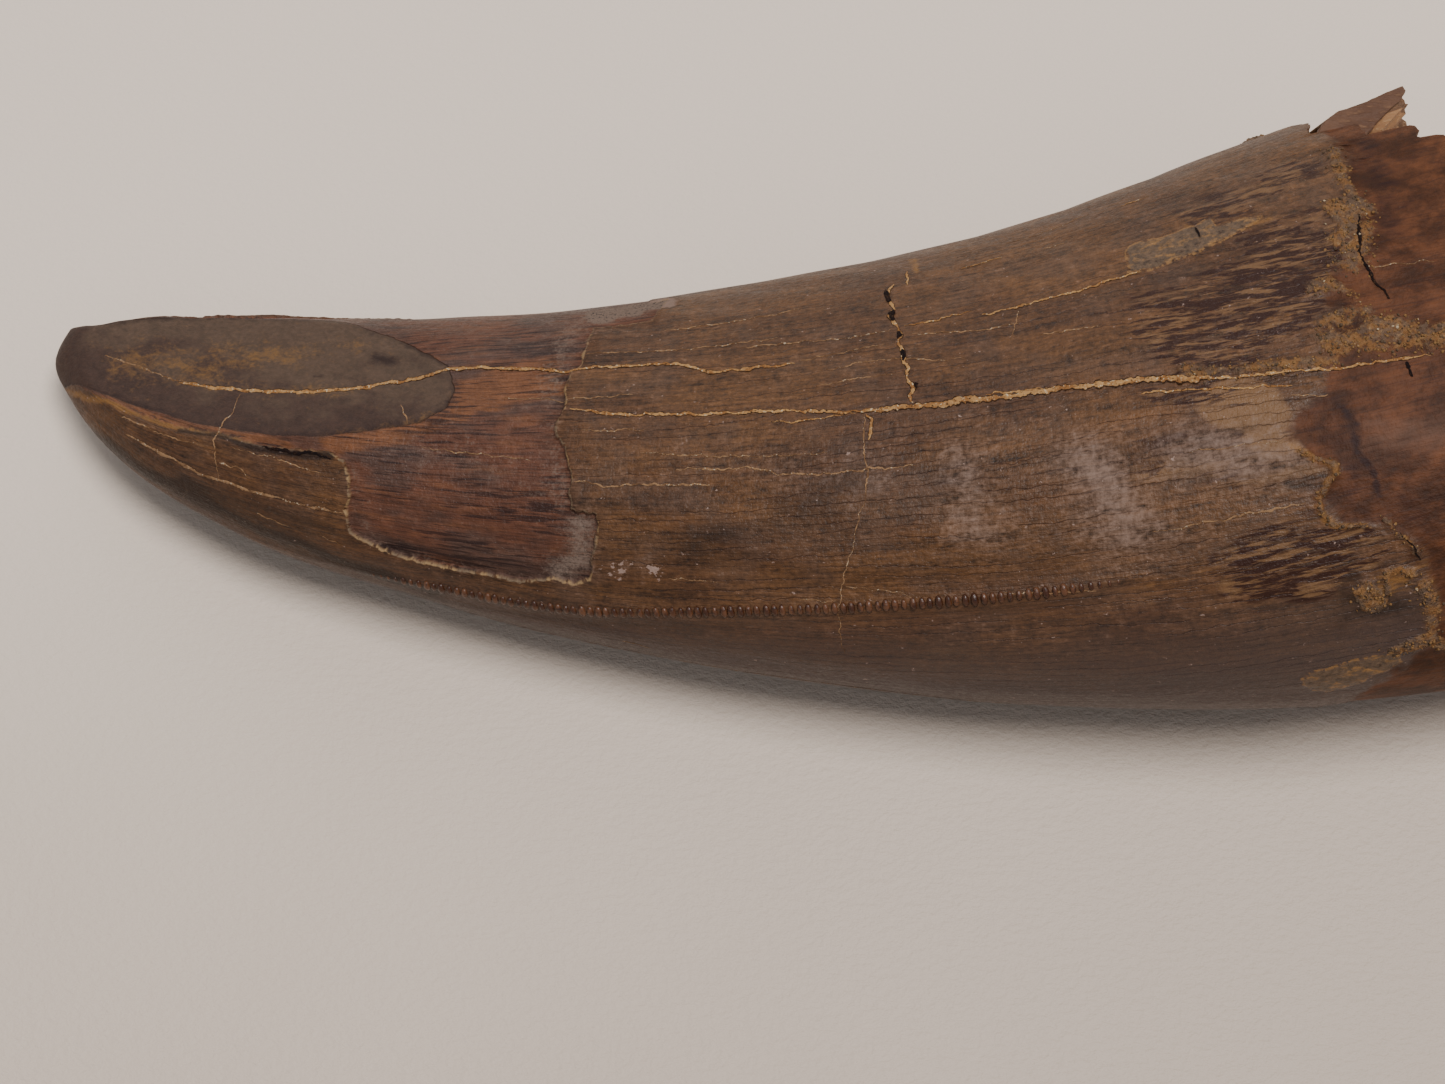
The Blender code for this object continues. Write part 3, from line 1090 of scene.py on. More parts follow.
Socket = bpy.types.NodeSocket
Given = Socket | float | int | str | tuple


class NodeMaker:
    """Adds nodes to a tree and links them, for materials and for Geometry Nodes."""

    def __init__(self, tree: bpy.types.NodeTree) -> None:
        """Takes the tree to fill."""
        self.tree = tree

    def feed(self, socket: Socket, value: Given) -> None:
        """Gives an input a value or another node's output."""
        if isinstance(value, bpy.types.NodeSocket):
            self.tree.links.new(value, socket)
        else:
            socket.default_value = value

    def add(self, kind: str, given: dict[str | int, Given], **settings: object) -> bpy.types.Node:
        """Adds one node.

        Args:
            kind: the node's type.
            given: a value or another node's output, for each input by name or number.
            settings: the node's own options.

        Returns:
            The new node.
        """
        node = self.tree.nodes.new(kind)
        for name, value in settings.items():
            setattr(node, name, value)
        for name, value in given.items():
            self.feed(node.inputs[name], value)
        return node

    def first(self, kind: str, given: dict[str | int, Given], **settings: object) -> Socket:
        """Adds one node and gives its first output."""
        return self.add(kind, given, **settings).outputs[0]

    def work(self, operation: str, first: Given, second: Given = 0.0) -> Socket:
        """Arithmetic on two numbers."""
        return self.first("ShaderNodeMath", {0: first, 1: second}, operation=operation)


class FormTree(NodeMaker):
    """A Geometry Nodes tree that turns a simple guide mesh into a finished piece."""

    def __init__(self, name: str, sizes: dict[str, float | int]) -> None:
        """Starts the tree.

        Args:
            name: its name.
            sizes: its inputs by name, with the values to use.
        """
        super().__init__(bpy.data.node_groups.new(name, "GeometryNodeTree"))
        face = self.tree.interface
        face.new_socket("Geometry", in_out="INPUT", socket_type="NodeSocketGeometry")
        face.new_socket("Geometry", in_out="OUTPUT", socket_type="NodeSocketGeometry")
        self.sizes = {}
        for label, value in sizes.items():
            kind = "NodeSocketInt" if isinstance(value, int) else "NodeSocketFloat"
            self.sizes[face.new_socket(label, in_out="INPUT", socket_type=kind).identifier] = value
        self.start = self.add("NodeGroupInput", {})

    def size(self, label: str) -> Socket:
        """The output that carries one of the tree's sizes."""
        return self.start.outputs[label]

    def guide(self) -> Socket:
        """The output that carries the guide mesh."""
        return self.start.outputs["Geometry"]

    def stored(self, name: str, kind: str = "FLOAT_VECTOR") -> Socket:
        """The output of a number or vector that the guide's points store."""
        return self.first("GeometryNodeInputNamedAttribute", {"Name": name}, data_type=kind)

    def finish(self, made: Socket, material: bpy.types.Material) -> None:
        """Ends the tree: real geometry, smooth, with its material.

        Args:
            made: the geometry.
            material: its material.
        """
        real = self.first("GeometryNodeRealizeInstances", {0: made})
        smooth = self.first("GeometryNodeSetShadeSmooth", {0: real})
        dressed = self.first("GeometryNodeSetMaterial", {0: smooth, "Material": material})
        self.add("NodeGroupOutput", {0: dressed})

    def apply(self, piece: bpy.types.Object) -> None:
        """Runs the tree on a piece and keeps the result as its mesh.

        Args:
            piece: the piece.
        """
        step = piece.modifiers.new(self.tree.name, "NODES")
        step.node_group = self.tree
        for identifier, value in self.sizes.items():
            step[identifier] = value
        seen = piece.evaluated_get(bpy.context.evaluated_depsgraph_get())
        made = bpy.data.meshes.new_from_object(seen)
        piece.modifiers.remove(step)
        guide = piece.data
        piece.data = made
        bpy.data.meshes.remove(guide)
        made.name = piece.name


@dataclass(frozen=True)
class Denticles:
    """The row of small serrations along a keel."""

    pitch: float = 0.55
    half_length: float = 0.25
    half_width: float = 0.46
    half_height: float = 0.24
    sink: float = 0.06
    fade: float = 4.0
    unevenness: float = 0.14
    scatter: float = 0.03
    smallest: float = 0.35
    seed: int = 7

    def build(
        self, name: str, skin: WornSkin, keel: Carina, material: bpy.types.Material
    ) -> bpy.types.Object:
        """Sets the serrations along a keel.

        Args:
            name: the piece's name.
            skin: what they stand on.
            keel: the keel's line.
            material: their finish.

        Returns:
            All of them as one piece.
        """
        start, stop = keel.serrated
        station = np.arange(start, stop, self.pitch)
        station = station + np.random.default_rng(self.seed).normal(0, self.scatter, len(station))
        angle = keel.angle(station)
        out = skin.outward(station, angle)
        foot = skin.place(station, angle) - out * self.sink
        ahead = station + 0.3
        grown = smooth_step(station, start - 1, start + self.fade)
        grown = grown * (1 - smooth_step(station, stop - self.fade, stop + 1))
        piece = make_object(name, foot, [])
        give_numbers(piece, "outward", out)
        give_numbers(piece, "along", unit(skin.form.surface(ahead, keel.angle(ahead)) - foot))
        give_numbers(piece, "size", self.smallest + (1 - self.smallest) * grown)
        tree = FormTree(name, {
            "Half length": self.half_length * MM, "Half width": self.half_width * MM,
            "Half height": self.half_height * MM, "Unevenness": self.unevenness, "Seed": self.seed,
        })
        bead = tree.first("GeometryNodeMeshUVSphere", {"Segments": 12, "Rings": 7, "Radius": 1.0})
        sizes = tree.first("ShaderNodeCombineXYZ", {
            "X": tree.size("Half length"), "Y": tree.size("Half width"), "Z": tree.size("Half height"),
        })
        shaped = tree.first("GeometryNodeTransform", {0: bead, "Scale": sizes})
        turn = tree.first("FunctionNodeAxesToRotation", {0: tree.stored("outward"), 1: tree.stored("along")},
                          primary_axis="Z", secondary_axis="X")
        change = tree.add("FunctionNodeRandomValue", {
            2: tree.work("SUBTRACT", 1.0, tree.size("Unevenness")),
            3: tree.work("ADD", 1.0, tree.size("Unevenness")), "Seed": tree.size("Seed"),
        }, data_type="FLOAT")
        scale = tree.work("MULTIPLY", change.outputs[1], tree.stored("size", "FLOAT"))
        row = tree.first("GeometryNodeInstanceOnPoints", {
            0: tree.guide(), "Instance": shaped, "Rotation": turn, "Scale": scale,
        })
        tree.finish(row, material)
        tree.apply(piece)
        return piece


@dataclass(frozen=True)
class Grains:
    """Crumbs of mineral scattered over the crusted places."""

    per_area: float = 11.0
    smallest: float = 0.03
    largest: float = 0.16
    seed: int = 3

    def build(
        self, name: str, body: bpy.types.Object, mark: Stain, material: bpy.types.Material
    ) -> bpy.types.Object:
        """Scatters the grains.

        Args:
            name: the piece's name.
            body: the tooth's mesh, which stores the marks.
            mark: the mark that they lie on.
            material: their finish.

        Returns:
            All of them as one piece.
        """
        piece = bpy.data.objects.new(name, body.data.copy())
        bpy.context.scene.collection.objects.link(piece)
        tree = FormTree(name, {"Density": self.per_area / MM**2, "Smallest": self.smallest * MM,
                               "Largest": self.largest * MM, "Seed": self.seed})
        dense = tree.work("MULTIPLY", tree.size("Density"), tree.stored(mark.value, "FLOAT"))
        spots = tree.first("GeometryNodeDistributePointsOnFaces", {
            "Mesh": tree.guide(), "Density": dense, "Seed": tree.size("Seed"),
        })
        stone = tree.first("GeometryNodeMeshIcoSphere", {"Radius": 1.0, "Subdivisions": 1})
        small, large = (tree.first("ShaderNodeCombineXYZ", {k: tree.size(label) for k in range(3)})
                        for label in ("Smallest", "Largest"))
        scale, tumble = (
            tree.first("FunctionNodeRandomValue", {0: low, 1: high, "Seed": tree.size("Seed")},
                       data_type="FLOAT_VECTOR")
            for low, high in ((small, large), ((0, 0, 0), (6.28, 6.28, 6.28)))
        )
        row = tree.first("GeometryNodeInstanceOnPoints", {
            0: spots, "Instance": stone, "Scale": scale, "Rotation": tumble,
        })
        tree.finish(row, material)
        tree.apply(piece)
        return piece


@dataclass(frozen=True)
class Splinter:
    """The thin flake of the root's far wall that shows over its near edge."""

    outline: Pixels = (
        (1315, 136), (1323, 122), (1337, 111), (1364, 102), (1388, 91), (1404, 85), (1407, 89), (1402, 100),
        (1391, 109), (1382, 119), (1368, 136), (1340, 143),
    )
    middle: tuple[float, float, float] = (37.0, 20.5, 20.7)
    facing: tuple[float, float, float] = (0.07, -0.24, 0.97)
    thick: float = 0.7
    bevel: float = 0.12
    rough: float = 0.05
    step: float = 0.25

    def build(self, view: PhotoView, material: bpy.types.Material) -> bpy.types.Object:
        """Makes the flake.

        Args:
            view: the photograph's camera, in which its outline is given.
            material: its finish.

        Returns:
            The flake as one closed piece.
        """
        back, up = view.directions()
        facing = np.array(self.facing) / np.linalg.norm(self.facing)
        pixels = (np.array(self.outline, float) - np.array(view.image) / 2) / view.focal_pixels
        rays = pixels[:, :1] * np.array([1.0, 0.0, 0.0]) - pixels[:, 1:] * up - back
        reach = (np.array(self.middle) - view.eye()) @ facing / (rays @ facing)
        corners = view.eye() + rays * reach[:, None]
        closed = np.vstack([corners, corners[:1]])
        length = lengths_along(closed)
        at = np.linspace(0, length[-1], int(length[-1] / self.step), endpoint=False)
        edge = np.stack([np.interp(at, length, closed[:, k]) for k in range(3)], axis=-1)
        inward = unit(edge.mean(axis=0) - edge)
        edge = edge + inward * (self.rough + self.rough * ripple(at, at * 0, 0.7, 41))[:, None]
        rings = [edge - facing * self.thick, edge - facing * self.bevel, edge + inward * self.bevel]
        count, last = len(edge), (len(rings) - 1) * len(edge)
        faces = []
        for low in range(0, last, count):
            for k in range(count):
                ahead = (k + 1) % count
                faces.append((low + k, low + count + k, low + count + ahead, low + ahead))
        faces.append(tuple(range(count)))
        faces.append(tuple(last + k for k in reversed(range(count))))
        piece = make_object("rim_splinter", np.concatenate(rings), faces)
        piece.data.polygons.foreach_set("use_smooth", np.zeros(len(faces), bool))
        piece.data.materials.append(material)
        return piece


@dataclass(frozen=True)
class CrackFilling:
    """The strips that show what is in the cracks, laid along them on the skin."""

    step: float = 0.12
    bulge: float = 0.5
    points_across: int = 6
    wander: float = 0.09
    waves: Pair = (1.7, 0.5)
    width_waves: Pair = (2.3, 0.5)
    uneven: float = 0.35
    narrowing: float = 2.0
    narrowest: float = 0.25
    lift: float = 0.012
    open_lift: float = 0.07
    first_seed: int = 50
    seeds_apart: int = 7

    def trace(self, skin: WornSkin, crack: Crack, seed: int) -> dict[str, np.ndarray]:
        """Follows one crack over the skin.

        Args:
            skin: what it runs over.
            crack: the crack.
            seed: picks its small bends.

        Returns:
            The strip's points with the direction out, the half width and the length along at each.
        """
        station, angle = skin.find_line(crack.line, crack.unseen)
        length = lengths_along(skin.sheet.flat(station, angle))
        at = np.linspace(0, length[-1], max(4, int(length[-1] / self.step)))
        station, angle = np.interp(at, length, station), np.interp(at, length, angle)
        side = skin.form.surface(station, angle + 1) - skin.form.surface(station, angle)
        per_degree = np.linalg.norm(side, axis=1)
        bend = ripple(at, at * 0, self.waves[0], seed) * self.wander
        bend = bend + ripple(at, at * 0, self.waves[1], seed + 1) * self.wander * 0.6
        run = unit(np.gradient(np.stack([station, angle * per_degree], -1), axis=0))
        station = station - run[:, 1] * bend
        angle = angle + run[:, 0] * bend / per_degree
        out = skin.outward(station, angle)
        from_end = np.minimum(at, length[-1] - at)
        ends = np.clip(from_end / max(min(self.narrowing, length[-1] / 3), 1e-6), 0, 1)
        wide = 0.9 + self.uneven * ripple(at, at * 0 + 1, self.width_waves[0], seed + 2)
        wide = wide + self.uneven * ripple(at, at * 0, self.width_waves[1], seed + 3)
        half = crack.width / 2 * np.clip(wide, 0.35, 1.6)
        half = half * (self.narrowest + (1 - self.narrowest) * np.sqrt(ends))
        lift = self.open_lift if crack.kind is CrackKind.OPEN else self.lift
        place = skin.place(station, angle) + out * lift
        return {"place": place, "outward": out, "half_width": half * MM, "along": at}

    def build(
        self, kind: CrackKind, skin: WornSkin, cracks: tuple[Crack, ...], material: bpy.types.Material
    ) -> bpy.types.Object:
        """Lays the strips for every crack of one kind.

        Args:
            kind: which cracks.
            skin: what they run over.
            cracks: all the cracks.
            material: what fills them.

        Returns:
            The strips as one piece.
        """
        traced = [
            self.trace(skin, crack, self.first_seed + self.seeds_apart * k)
            for k, crack in enumerate(cracks) if crack.kind is kind
        ]
        edges, total = [], 0
        for part in traced:
            count = len(part["along"])
            edges += [(total + k, total + k + 1) for k in range(count - 1)]
            total += count
        piece = make_object(kind.value, np.concatenate([part["place"] for part in traced]), [])
        points = [tuple(v.co) for v in piece.data.vertices]
        piece.data.clear_geometry()
        piece.data.from_pydata(points, edges, [])
        for name in ("outward", "half_width", "along"):
            give_numbers(piece, name, np.concatenate([part[name] for part in traced]))
        tree = FormTree(kind.value, {"Bulge": self.bulge, "Points across": self.points_across})
        path = tree.first("GeometryNodeMeshToCurve", {0: tree.guide()})
        upright = tree.first("GeometryNodeSetCurveNormal", {0: path, "Normal": tree.stored("outward")},
                             mode="FREE")
        top = tree.first("ShaderNodeCombineXYZ", {"X": tree.size("Bulge")})
        arch = tree.first("GeometryNodeCurveQuadraticBezier", {
            "Resolution": tree.size("Points across"), "Start": (0, -1, 0), "Middle": top, "End": (0, 1, 0),
        })
        share = tree.add("GeometryNodeSplineParameter", {}).outputs["Factor"]
        marked = tree.first("GeometryNodeStoreNamedAttribute", {0: arch, "Name": "across", "Value": share},
                            data_type="FLOAT", domain="POINT")
        strip = tree.first("GeometryNodeCurveToMesh", {
            "Curve": upright, "Profile Curve": marked, "Scale": tree.stored("half_width", "FLOAT"),
        })
        tree.finish(strip, material)
        tree.apply(piece)
        return piece


class FinishMaker(NodeMaker):
    """A procedural material on one shader, in the tooth's straightened coordinates or in the model's."""

    def __init__(self, name: str, coordinate: str | None = "straight") -> None:
        """Starts the material.

        Args:
            name: its name.
            coordinate: the stored vector that its patterns follow, or None for the model's own millimetres.
        """
        self.material = bpy.data.materials.new(name)
        self.material.use_nodes = True
        super().__init__(self.material.node_tree)
        self.shader = self.tree.nodes["Principled BSDF"]
        if coordinate:
            self.place = self.number(coordinate, "Vector")
        else:
            where = self.add("ShaderNodeTexCoord", {}).outputs["Object"]
            self.place = self.first("ShaderNodeVectorMath", {0: where, 1: (1000, 1000, 1000)},
                                    operation="MULTIPLY")

    def number(self, name: str, output: str = "Fac") -> Socket:
        """A number or vector stored at the piece's points."""
        return self.add("ShaderNodeAttribute", {}, attribute_name=name).outputs[output]

    def noise(
        self, scale: tuple[float, float, float], detail: float = 2.0, rough: float = 0.5,
        shift: float = 0.0, distortion: float = 0.0, on: Socket | None = None
    ) -> Socket:
        """Cloudy noise.

        Args:
            scale: waves per millimetre along the tooth, across it and up.
            detail: how many finer layers it has.
            rough: how strong they are.
            shift: moves the pattern, so that no two are alike.
            distortion: how much it swirls.
            on: the coordinates to use in place of the material's own.

        Returns:
            A number around 0.5.
        """
        at = self.first("ShaderNodeMapping", {"Vector": on or self.place, "Scale": scale,
                                              "Location": (shift, shift * 0.7, 0)})
        return self.first("ShaderNodeTexNoise", {"Vector": at, "Scale": 1.0, "Detail": detail,
                                                 "Roughness": rough, "Distortion": distortion})

    def step(self, value: Given, low: float, high: float, start: float = 0.0, end: float = 1.0) -> Socket:
        """A soft step of a number, from start below low to end above high."""
        return self.first("ShaderNodeMapRange", {"Value": value, "From Min": low, "From Max": high,
                                                 "To Min": start, "To Max": end},
                          interpolation_type="SMOOTHSTEP")

    def times(self, *values: Given) -> Socket:
        """The product of several numbers."""
        result = values[0]
        for value in values[1:]:
            result = self.work("MULTIPLY", result, value)
        return result

    def sum(self, *values: Given) -> Socket:
        """The sum of several numbers."""
        result = values[0]
        for value in values[1:]:
            result = self.work("ADD", result, value)
        return result

    def around(self, value: Socket, gain: float) -> Socket:
        """Noise shifted to lie around 0 and strengthened."""
        return self.times(self.work("SUBTRACT", value, 0.5), gain)

    def uneven(self, value: Given, *changes: tuple[Socket, float]) -> Socket:
        """A number made uneven by noises, each with its strength."""
        return self.sum(value, *(self.around(noise, gain) for noise, gain in changes))

    def line(self, value: Socket, middle: float, width: float) -> Socket:
        """A thin line where a number passes a value."""
        gap = self.work("ABSOLUTE", self.work("SUBTRACT", value, middle))
        return self.step(gap, 0.0, width, 1.0, 0.0)

    def blend(self, share: Given, first: Given, second: Given) -> Socket:
        """Mixes two colours."""
        return self.add("ShaderNodeMix", {0: share, 6: first, 7: second}, data_type="RGBA",
                        clamp_factor=True).outputs[2]

    def lay(
        self, colour: Given, paint: Given, value: Given, low: float, high: float, *shares: Given
    ) -> Socket:
        """Lays a paint over a colour by a soft step of a number, thinned by any further shares."""
        return self.blend(self.times(self.step(value, low, high), *shares), colour, paint)

    def tone(self, colour: Socket, *changes: tuple[Socket, float]) -> Socket:
        """Makes a colour lighter and darker by noises, each with its strength."""
        strength = self.work("MAXIMUM", self.uneven(1.0, *changes), 0.15)
        return self.first("ShaderNodeVectorMath", {0: colour, "Scale": strength}, operation="SCALE")

    def mix(self, share: Given, first: Given, second: Given) -> Socket:
        """Mixes two numbers."""
        return self.first("ShaderNodeMix", {0: share, 2: first, 3: second}, data_type="FLOAT")

    def bump(self, height: Socket, depth: float, strength: float = 1.0) -> None:
        """Roughens the surface by a height from 0 to 1, with that depth in millimetres."""
        given = {"Height": height, "Distance": depth * MM, "Strength": strength}
        self.feed(self.shader.inputs["Normal"], self.first("ShaderNodeBump", given))

    def finish(self, colour: Given, rough: Given, specular: Given = 0.2) -> bpy.types.Material:
        """Connects the colour, roughness and gloss to the shader."""
        for name, value in (("Base Color", colour), ("Roughness", rough), ("Specular IOR Level", specular)):
            self.feed(self.shader.inputs[name], value)
        return self.material


class SkinMaker(FinishMaker):
    """The material of the whole skin, with the patterns that all its finishes share."""

    def __init__(self) -> None:
        """Starts the material: fine grit, cloudy mottle, cross threads and long lines of growth."""
        super().__init__("fossil_surface")
        self.fan = self.number("fan", "Vector")
        self.grit = self.noise((3.0, 3.0, 3.0), 3, 0.6, 130)
        self.mottle = self.noise((1.1, 1.5, 1.5), 3, 0.65, 132)
        self.threads = self.mix(0.5, self.grown((4.4, 1.3, 1.3), 3, 0.65, 134),
                                self.grown((2.0, 0.7, 0.7), 2, 0.6, 135))
        strength = self.step(self.grown((0.1, 0.9, 0.9), 2, 0.5, 136), 0.40, 0.58)
        fainter = self.step(self.grown((0.12, 1.2, 1.2), 2, 0.5, 138), 0.42, 0.60)
        self.lines = self.work("MAXIMUM", self.times(self.long_lines(127, 0.07, 20), strength),
                               self.times(self.long_lines(211, 0.09, 33), fainter, 0.6))

    def grown(
        self, scale: tuple[float, float, float], detail: float, rough: float, shift: float,
        distortion: float = 0.0
    ) -> Socket:
        """Cloudy noise that follows the lines of growth."""
        return self.noise(scale, detail, rough, shift, distortion, self.fan)

    def marked(self, stain: Stain, *changes: tuple[Socket, float]) -> Socket:
        """How strong one kind of mark is, made uneven by noises."""
        return self.uneven(self.number(stain.value), *changes)

    def long_lines(self, count: int, width: float, shift: float) -> Socket:
        """Thin wavy lines that run the tooth's whole length, side by side.

        Args:
            count: how many lines lie side by side round the tooth.
            width: a line's half width as a part of the gap between two.
            shift: moves the waves.

        Returns:
            1 on the lines and 0 between them.
        """
        parts = self.add("ShaderNodeSeparateXYZ", {0: self.fan}).outputs
        turns = self.times(self.work("ARCTAN2", parts[2], parts[1]), count / (2 * math.pi))
        bend = self.grown((0.035, 0.12, 0.12), 2, 0.5, shift)
        shiver = self.grown((0.8, 0.7, 0.7), 3, 0.6, shift + 3)
        waves = self.work("PINGPONG", self.uneven(turns, (bend, 5.0), (shiver, 0.9)), 0.5)
        return self.step(waves, 0.0, width, 1.0, 0.0)


@dataclass(frozen=True)
class EnamelFinish:
    """Brown enamel, woven of long dark lines and fine cross bands, stained in places, with painted highlight,
    painted reflection and painted shade.
    """

    brown: tuple = shade(94, 65, 46)
    warm: tuple = shade(110, 76, 50)
    grey: tuple = shade(87, 68, 57)
    line: tuple = shade(50, 32, 23)
    dark: tuple = shade(50, 39, 33)
    tan: tuple = shade(140, 103, 70)
    ochre: tuple = shade(150, 104, 54)
    dash: tuple = shade(60, 37, 24)
    speck: tuple = shade(182, 152, 138)
    # painted reflection: the grey-plum tint that stands in for the grazing reflection on the lower flank
    painted_grazing_sheen: tuple = shade(88, 73, 68)
    # painted highlight: the pale sheen laid where the lamp's reflection falls on the enamel
    sheen: tuple = shade(156, 130, 116)

    def colour(self, made: SkinMaker) -> Socket:
        """The enamel's colour everywhere on the skin.

        Args:
            made: the skin's material.

        Returns:
            The colour.
        """
        threads, mottle = made.threads, made.mottle
        broad = made.noise((0.07, 0.16, 0.16), 3, 0.6, 3)
        zones = made.noise((0.22, 0.3, 0.3), 3, 0.6, 5)
        colour = made.lay(self.brown, self.warm, broad, 0.38, 0.62)
        colour = made.lay(colour, self.grey, zones, 0.42, 0.66, 0.5)
        streaks = made.grown((0.3, 4.0, 4.0), 4, 0.65, 14)
        grain = made.grown((2.2, 4.2, 4.2), 3, 0.65, 17)
        slow = made.grown((0.06, 0.9, 0.9), 2, 0.5, 15)
        colour = made.tone(colour, (mottle, 1.3), (streaks, 1.5), (slow, 0.9), (threads, 0.9), (zones, 0.7),
                           (grain, 1.6))
        # Painted reflection: the near side of the lower flank is blended towards a grey-plum tint that stands
        # in for the table's grazing reflection.
        where = made.add("ShaderNodeSeparateXYZ", {0: made.fan}).outputs
        low = made.step(made.uneven(where[2], (zones, 4.0)), 9.0, -2.0, 0.0, 0.8)
        colour = made.blend(made.times(low, made.step(where[1], -4.0, 4.0)), colour, self.painted_grazing_sheen)
        # The tan mark is mostly real tan stain, plus one broad stroke of painted highlight.
        tan = made.marked(Stain.TAN, (slow, 1.2), (mottle, 0.8))
        colour = made.lay(colour, self.tan, tan, 0.35, 1.05, 0.8)
        ochre = made.marked(Stain.OCHRE, (streaks, 1.1), (mottle, 0.8))
        colour = made.lay(colour, self.ochre, ochre, 0.35, 1.0, 0.8)
        # The dark mark is partly real staining and partly painted shade: under the keel, in the ledge groove
        # and along the lower flank.
        dark = made.marked(Stain.DARK, (mottle, 1.2), (threads, 0.6))
        colour = made.lay(colour, self.dark, dark, 0.25, 1.0, 0.85)
        colour = made.blend(made.times(made.lines, 0.65), colour, self.line)
        mark = made.number("dashes")
        crowd = made.around(made.noise((0.1, 0.4, 0.4), 2, 0.5, 50), 0.35)
        dashes = made.sum(made.grown((0.42, 2.6, 2.6), 4, 0.6, 51, 0.4), made.times(mark, 0.13), crowd)
        colour = made.lay(colour, self.dash, dashes, 0.56, 0.62, made.step(mark, 0.05, 0.5), 0.95)
        between = made.grown((0.4, 3.0, 3.0), 4, 0.6, 58, 0.4)
        colour = made.lay(colour, self.tan, between, 0.50, 0.62, made.step(mark, 0.2, 0.8), 0.75)
        # Painted highlight: strokes in the highlight band lay a pale sheen over the enamel.
        haze_and_sheen = made.marked(Stain.HAZE_AND_SHEEN, (grain, 1.2), (threads, 1.0), (mottle, 1.2))
        colour = made.lay(colour, self.sheen, haze_and_sheen, 0.12, 1.2, 0.75)
        specks = made.sum(made.noise((2.0, 2.4, 2.4), 3, 0.65, 60), made.times(made.number("specks"), 0.22))
        return made.lay(colour, self.speck, specks, 0.68, 0.74, 0.75)


@dataclass(frozen=True)
class DentineFinish:
    """Orange-brown dentine with short dark streaks, hazy by the ledges with grey powder and painted sheen."""

    red: tuple = shade(104, 67, 51)
    orange: tuple = shade(126, 81, 54)
    plum: tuple = shade(91, 67, 57)
    streak: tuple = shade(46, 33, 32)
    haze_and_sheen: tuple = shade(134, 113, 99)
    grit: tuple = shade(64, 55, 50)

    def colour(self, made: SkinMaker) -> Socket:
        """The dentine's colour everywhere on the skin.

        Args:
            made: the skin's material.

        Returns:
            The colour.
        """
        colour = made.lay(self.red, self.plum, made.noise((0.16, 0.3, 0.3), 3, 0.6, 61), 0.4, 0.62)
        orange = made.sum(made.times(made.number("ochre"), 0.6), made.grown((0.2, 0.9, 0.9), 3, 0.55, 66))
        colour = made.lay(colour, self.orange, orange, 0.5, 0.85, 0.9)
        colour = made.tone(colour, (made.mottle, 1.1), (made.grown((0.4, 5.0, 5.0), 3, 0.6, 70), 1.8))
        crowd = made.around(made.noise((0.12, 0.22, 0.22), 2, 0.5, 72), 0.5)
        dark = made.number("dark")
        streaks = made.sum(made.grown((0.3, 3.2, 3.2), 2.2, 0.5, 74, 0.15), crowd, made.times(dark, 0.10))
        colour = made.lay(colour, self.streak, streaks, 0.56, 0.64, 0.7)
        fine = made.sum(made.grown((0.45, 6.0, 6.0), 2, 0.5, 76), crowd)
        colour = made.lay(colour, self.streak, fine, 0.6, 0.68, 0.5)
        return made.lay(colour, self.streak, dark, 0.3, 1.0, 0.6)

    def hazy(self, made: SkinMaker, colour: Socket) -> Socket:
        """Adds grey by the ledges, partly powder and partly painted sheen, and its dark grit.

        Args:
            made: the skin's material.
            colour: the dentine's colour.

        Returns:
            The colour with the grey powder and painted sheen on it.
        """
        grit = made.noise((4.5, 4.5, 4.5), 3, 0.7, 80)
        haze_and_sheen = made.number("haze_and_sheen")
        hazy = made.uneven(haze_and_sheen, (grit, 1.4), (made.mottle, 1.2))
        colour = made.lay(colour, self.haze_and_sheen, hazy, 0.1, 1.0, 0.85)
        return made.lay(colour, self.grit, made.noise((5.5, 5.5, 5.5), 2, 0.6, 84), 0.56, 0.64, haze_and_sheen, 0.7)


@dataclass(frozen=True)
class WornFinish:
    """The dark, smooth face that wear left on the tip, with ochre stains."""

    plum: tuple = shade(75, 56, 48)
    grey: tuple = shade(95, 75, 61)
    ochre: tuple = shade(136, 98, 58)
    edge: tuple = shade(46, 32, 29)

    def colour(self, made: SkinMaker, inside: Socket) -> Socket:
        """The worn face's colour everywhere on the skin.

        Args:
            made: the skin's material.
            inside: how far inside the face's edge a place lies.

        Returns:
            The colour.
        """
        cloud = made.noise((0.22, 0.3, 0.3), 4, 0.6, 90)
        side = made.add("ShaderNodeSeparateXYZ", {0: made.place}).outputs[1]
        colour = made.lay(self.plum, self.grey, made.sum(cloud, made.times(side, -0.045)), 0.35, 0.68)
        fine = made.noise((3.0, 3.4, 3.4), 3, 0.65, 93)
        colour = made.tone(colour, (made.mottle, 0.8), (fine, 0.9))
        ochre = made.marked(Stain.OCHRE, (made.noise((0.9, 1.3, 1.3), 4, 0.7, 96, 0.6), 2.2), (fine, 1.2))
        colour = made.lay(colour, self.ochre, ochre, 0.2, 1.2, 0.8)
        colour = made.lay(colour, self.edge, made.marked(Stain.DARK, (made.mottle, 0.8)), 0.3, 0.9, 0.85)
        ragged_edge = made.uneven(inside, (made.mottle, 0.9))
        border = made.step(ragged_edge, 0.0, 0.55, 0.6, 0.0)
        border = made.times(border, made.step(cloud, 0.35, 0.6, 0.3, 1.0))
        return made.blend(border, colour, self.edge)


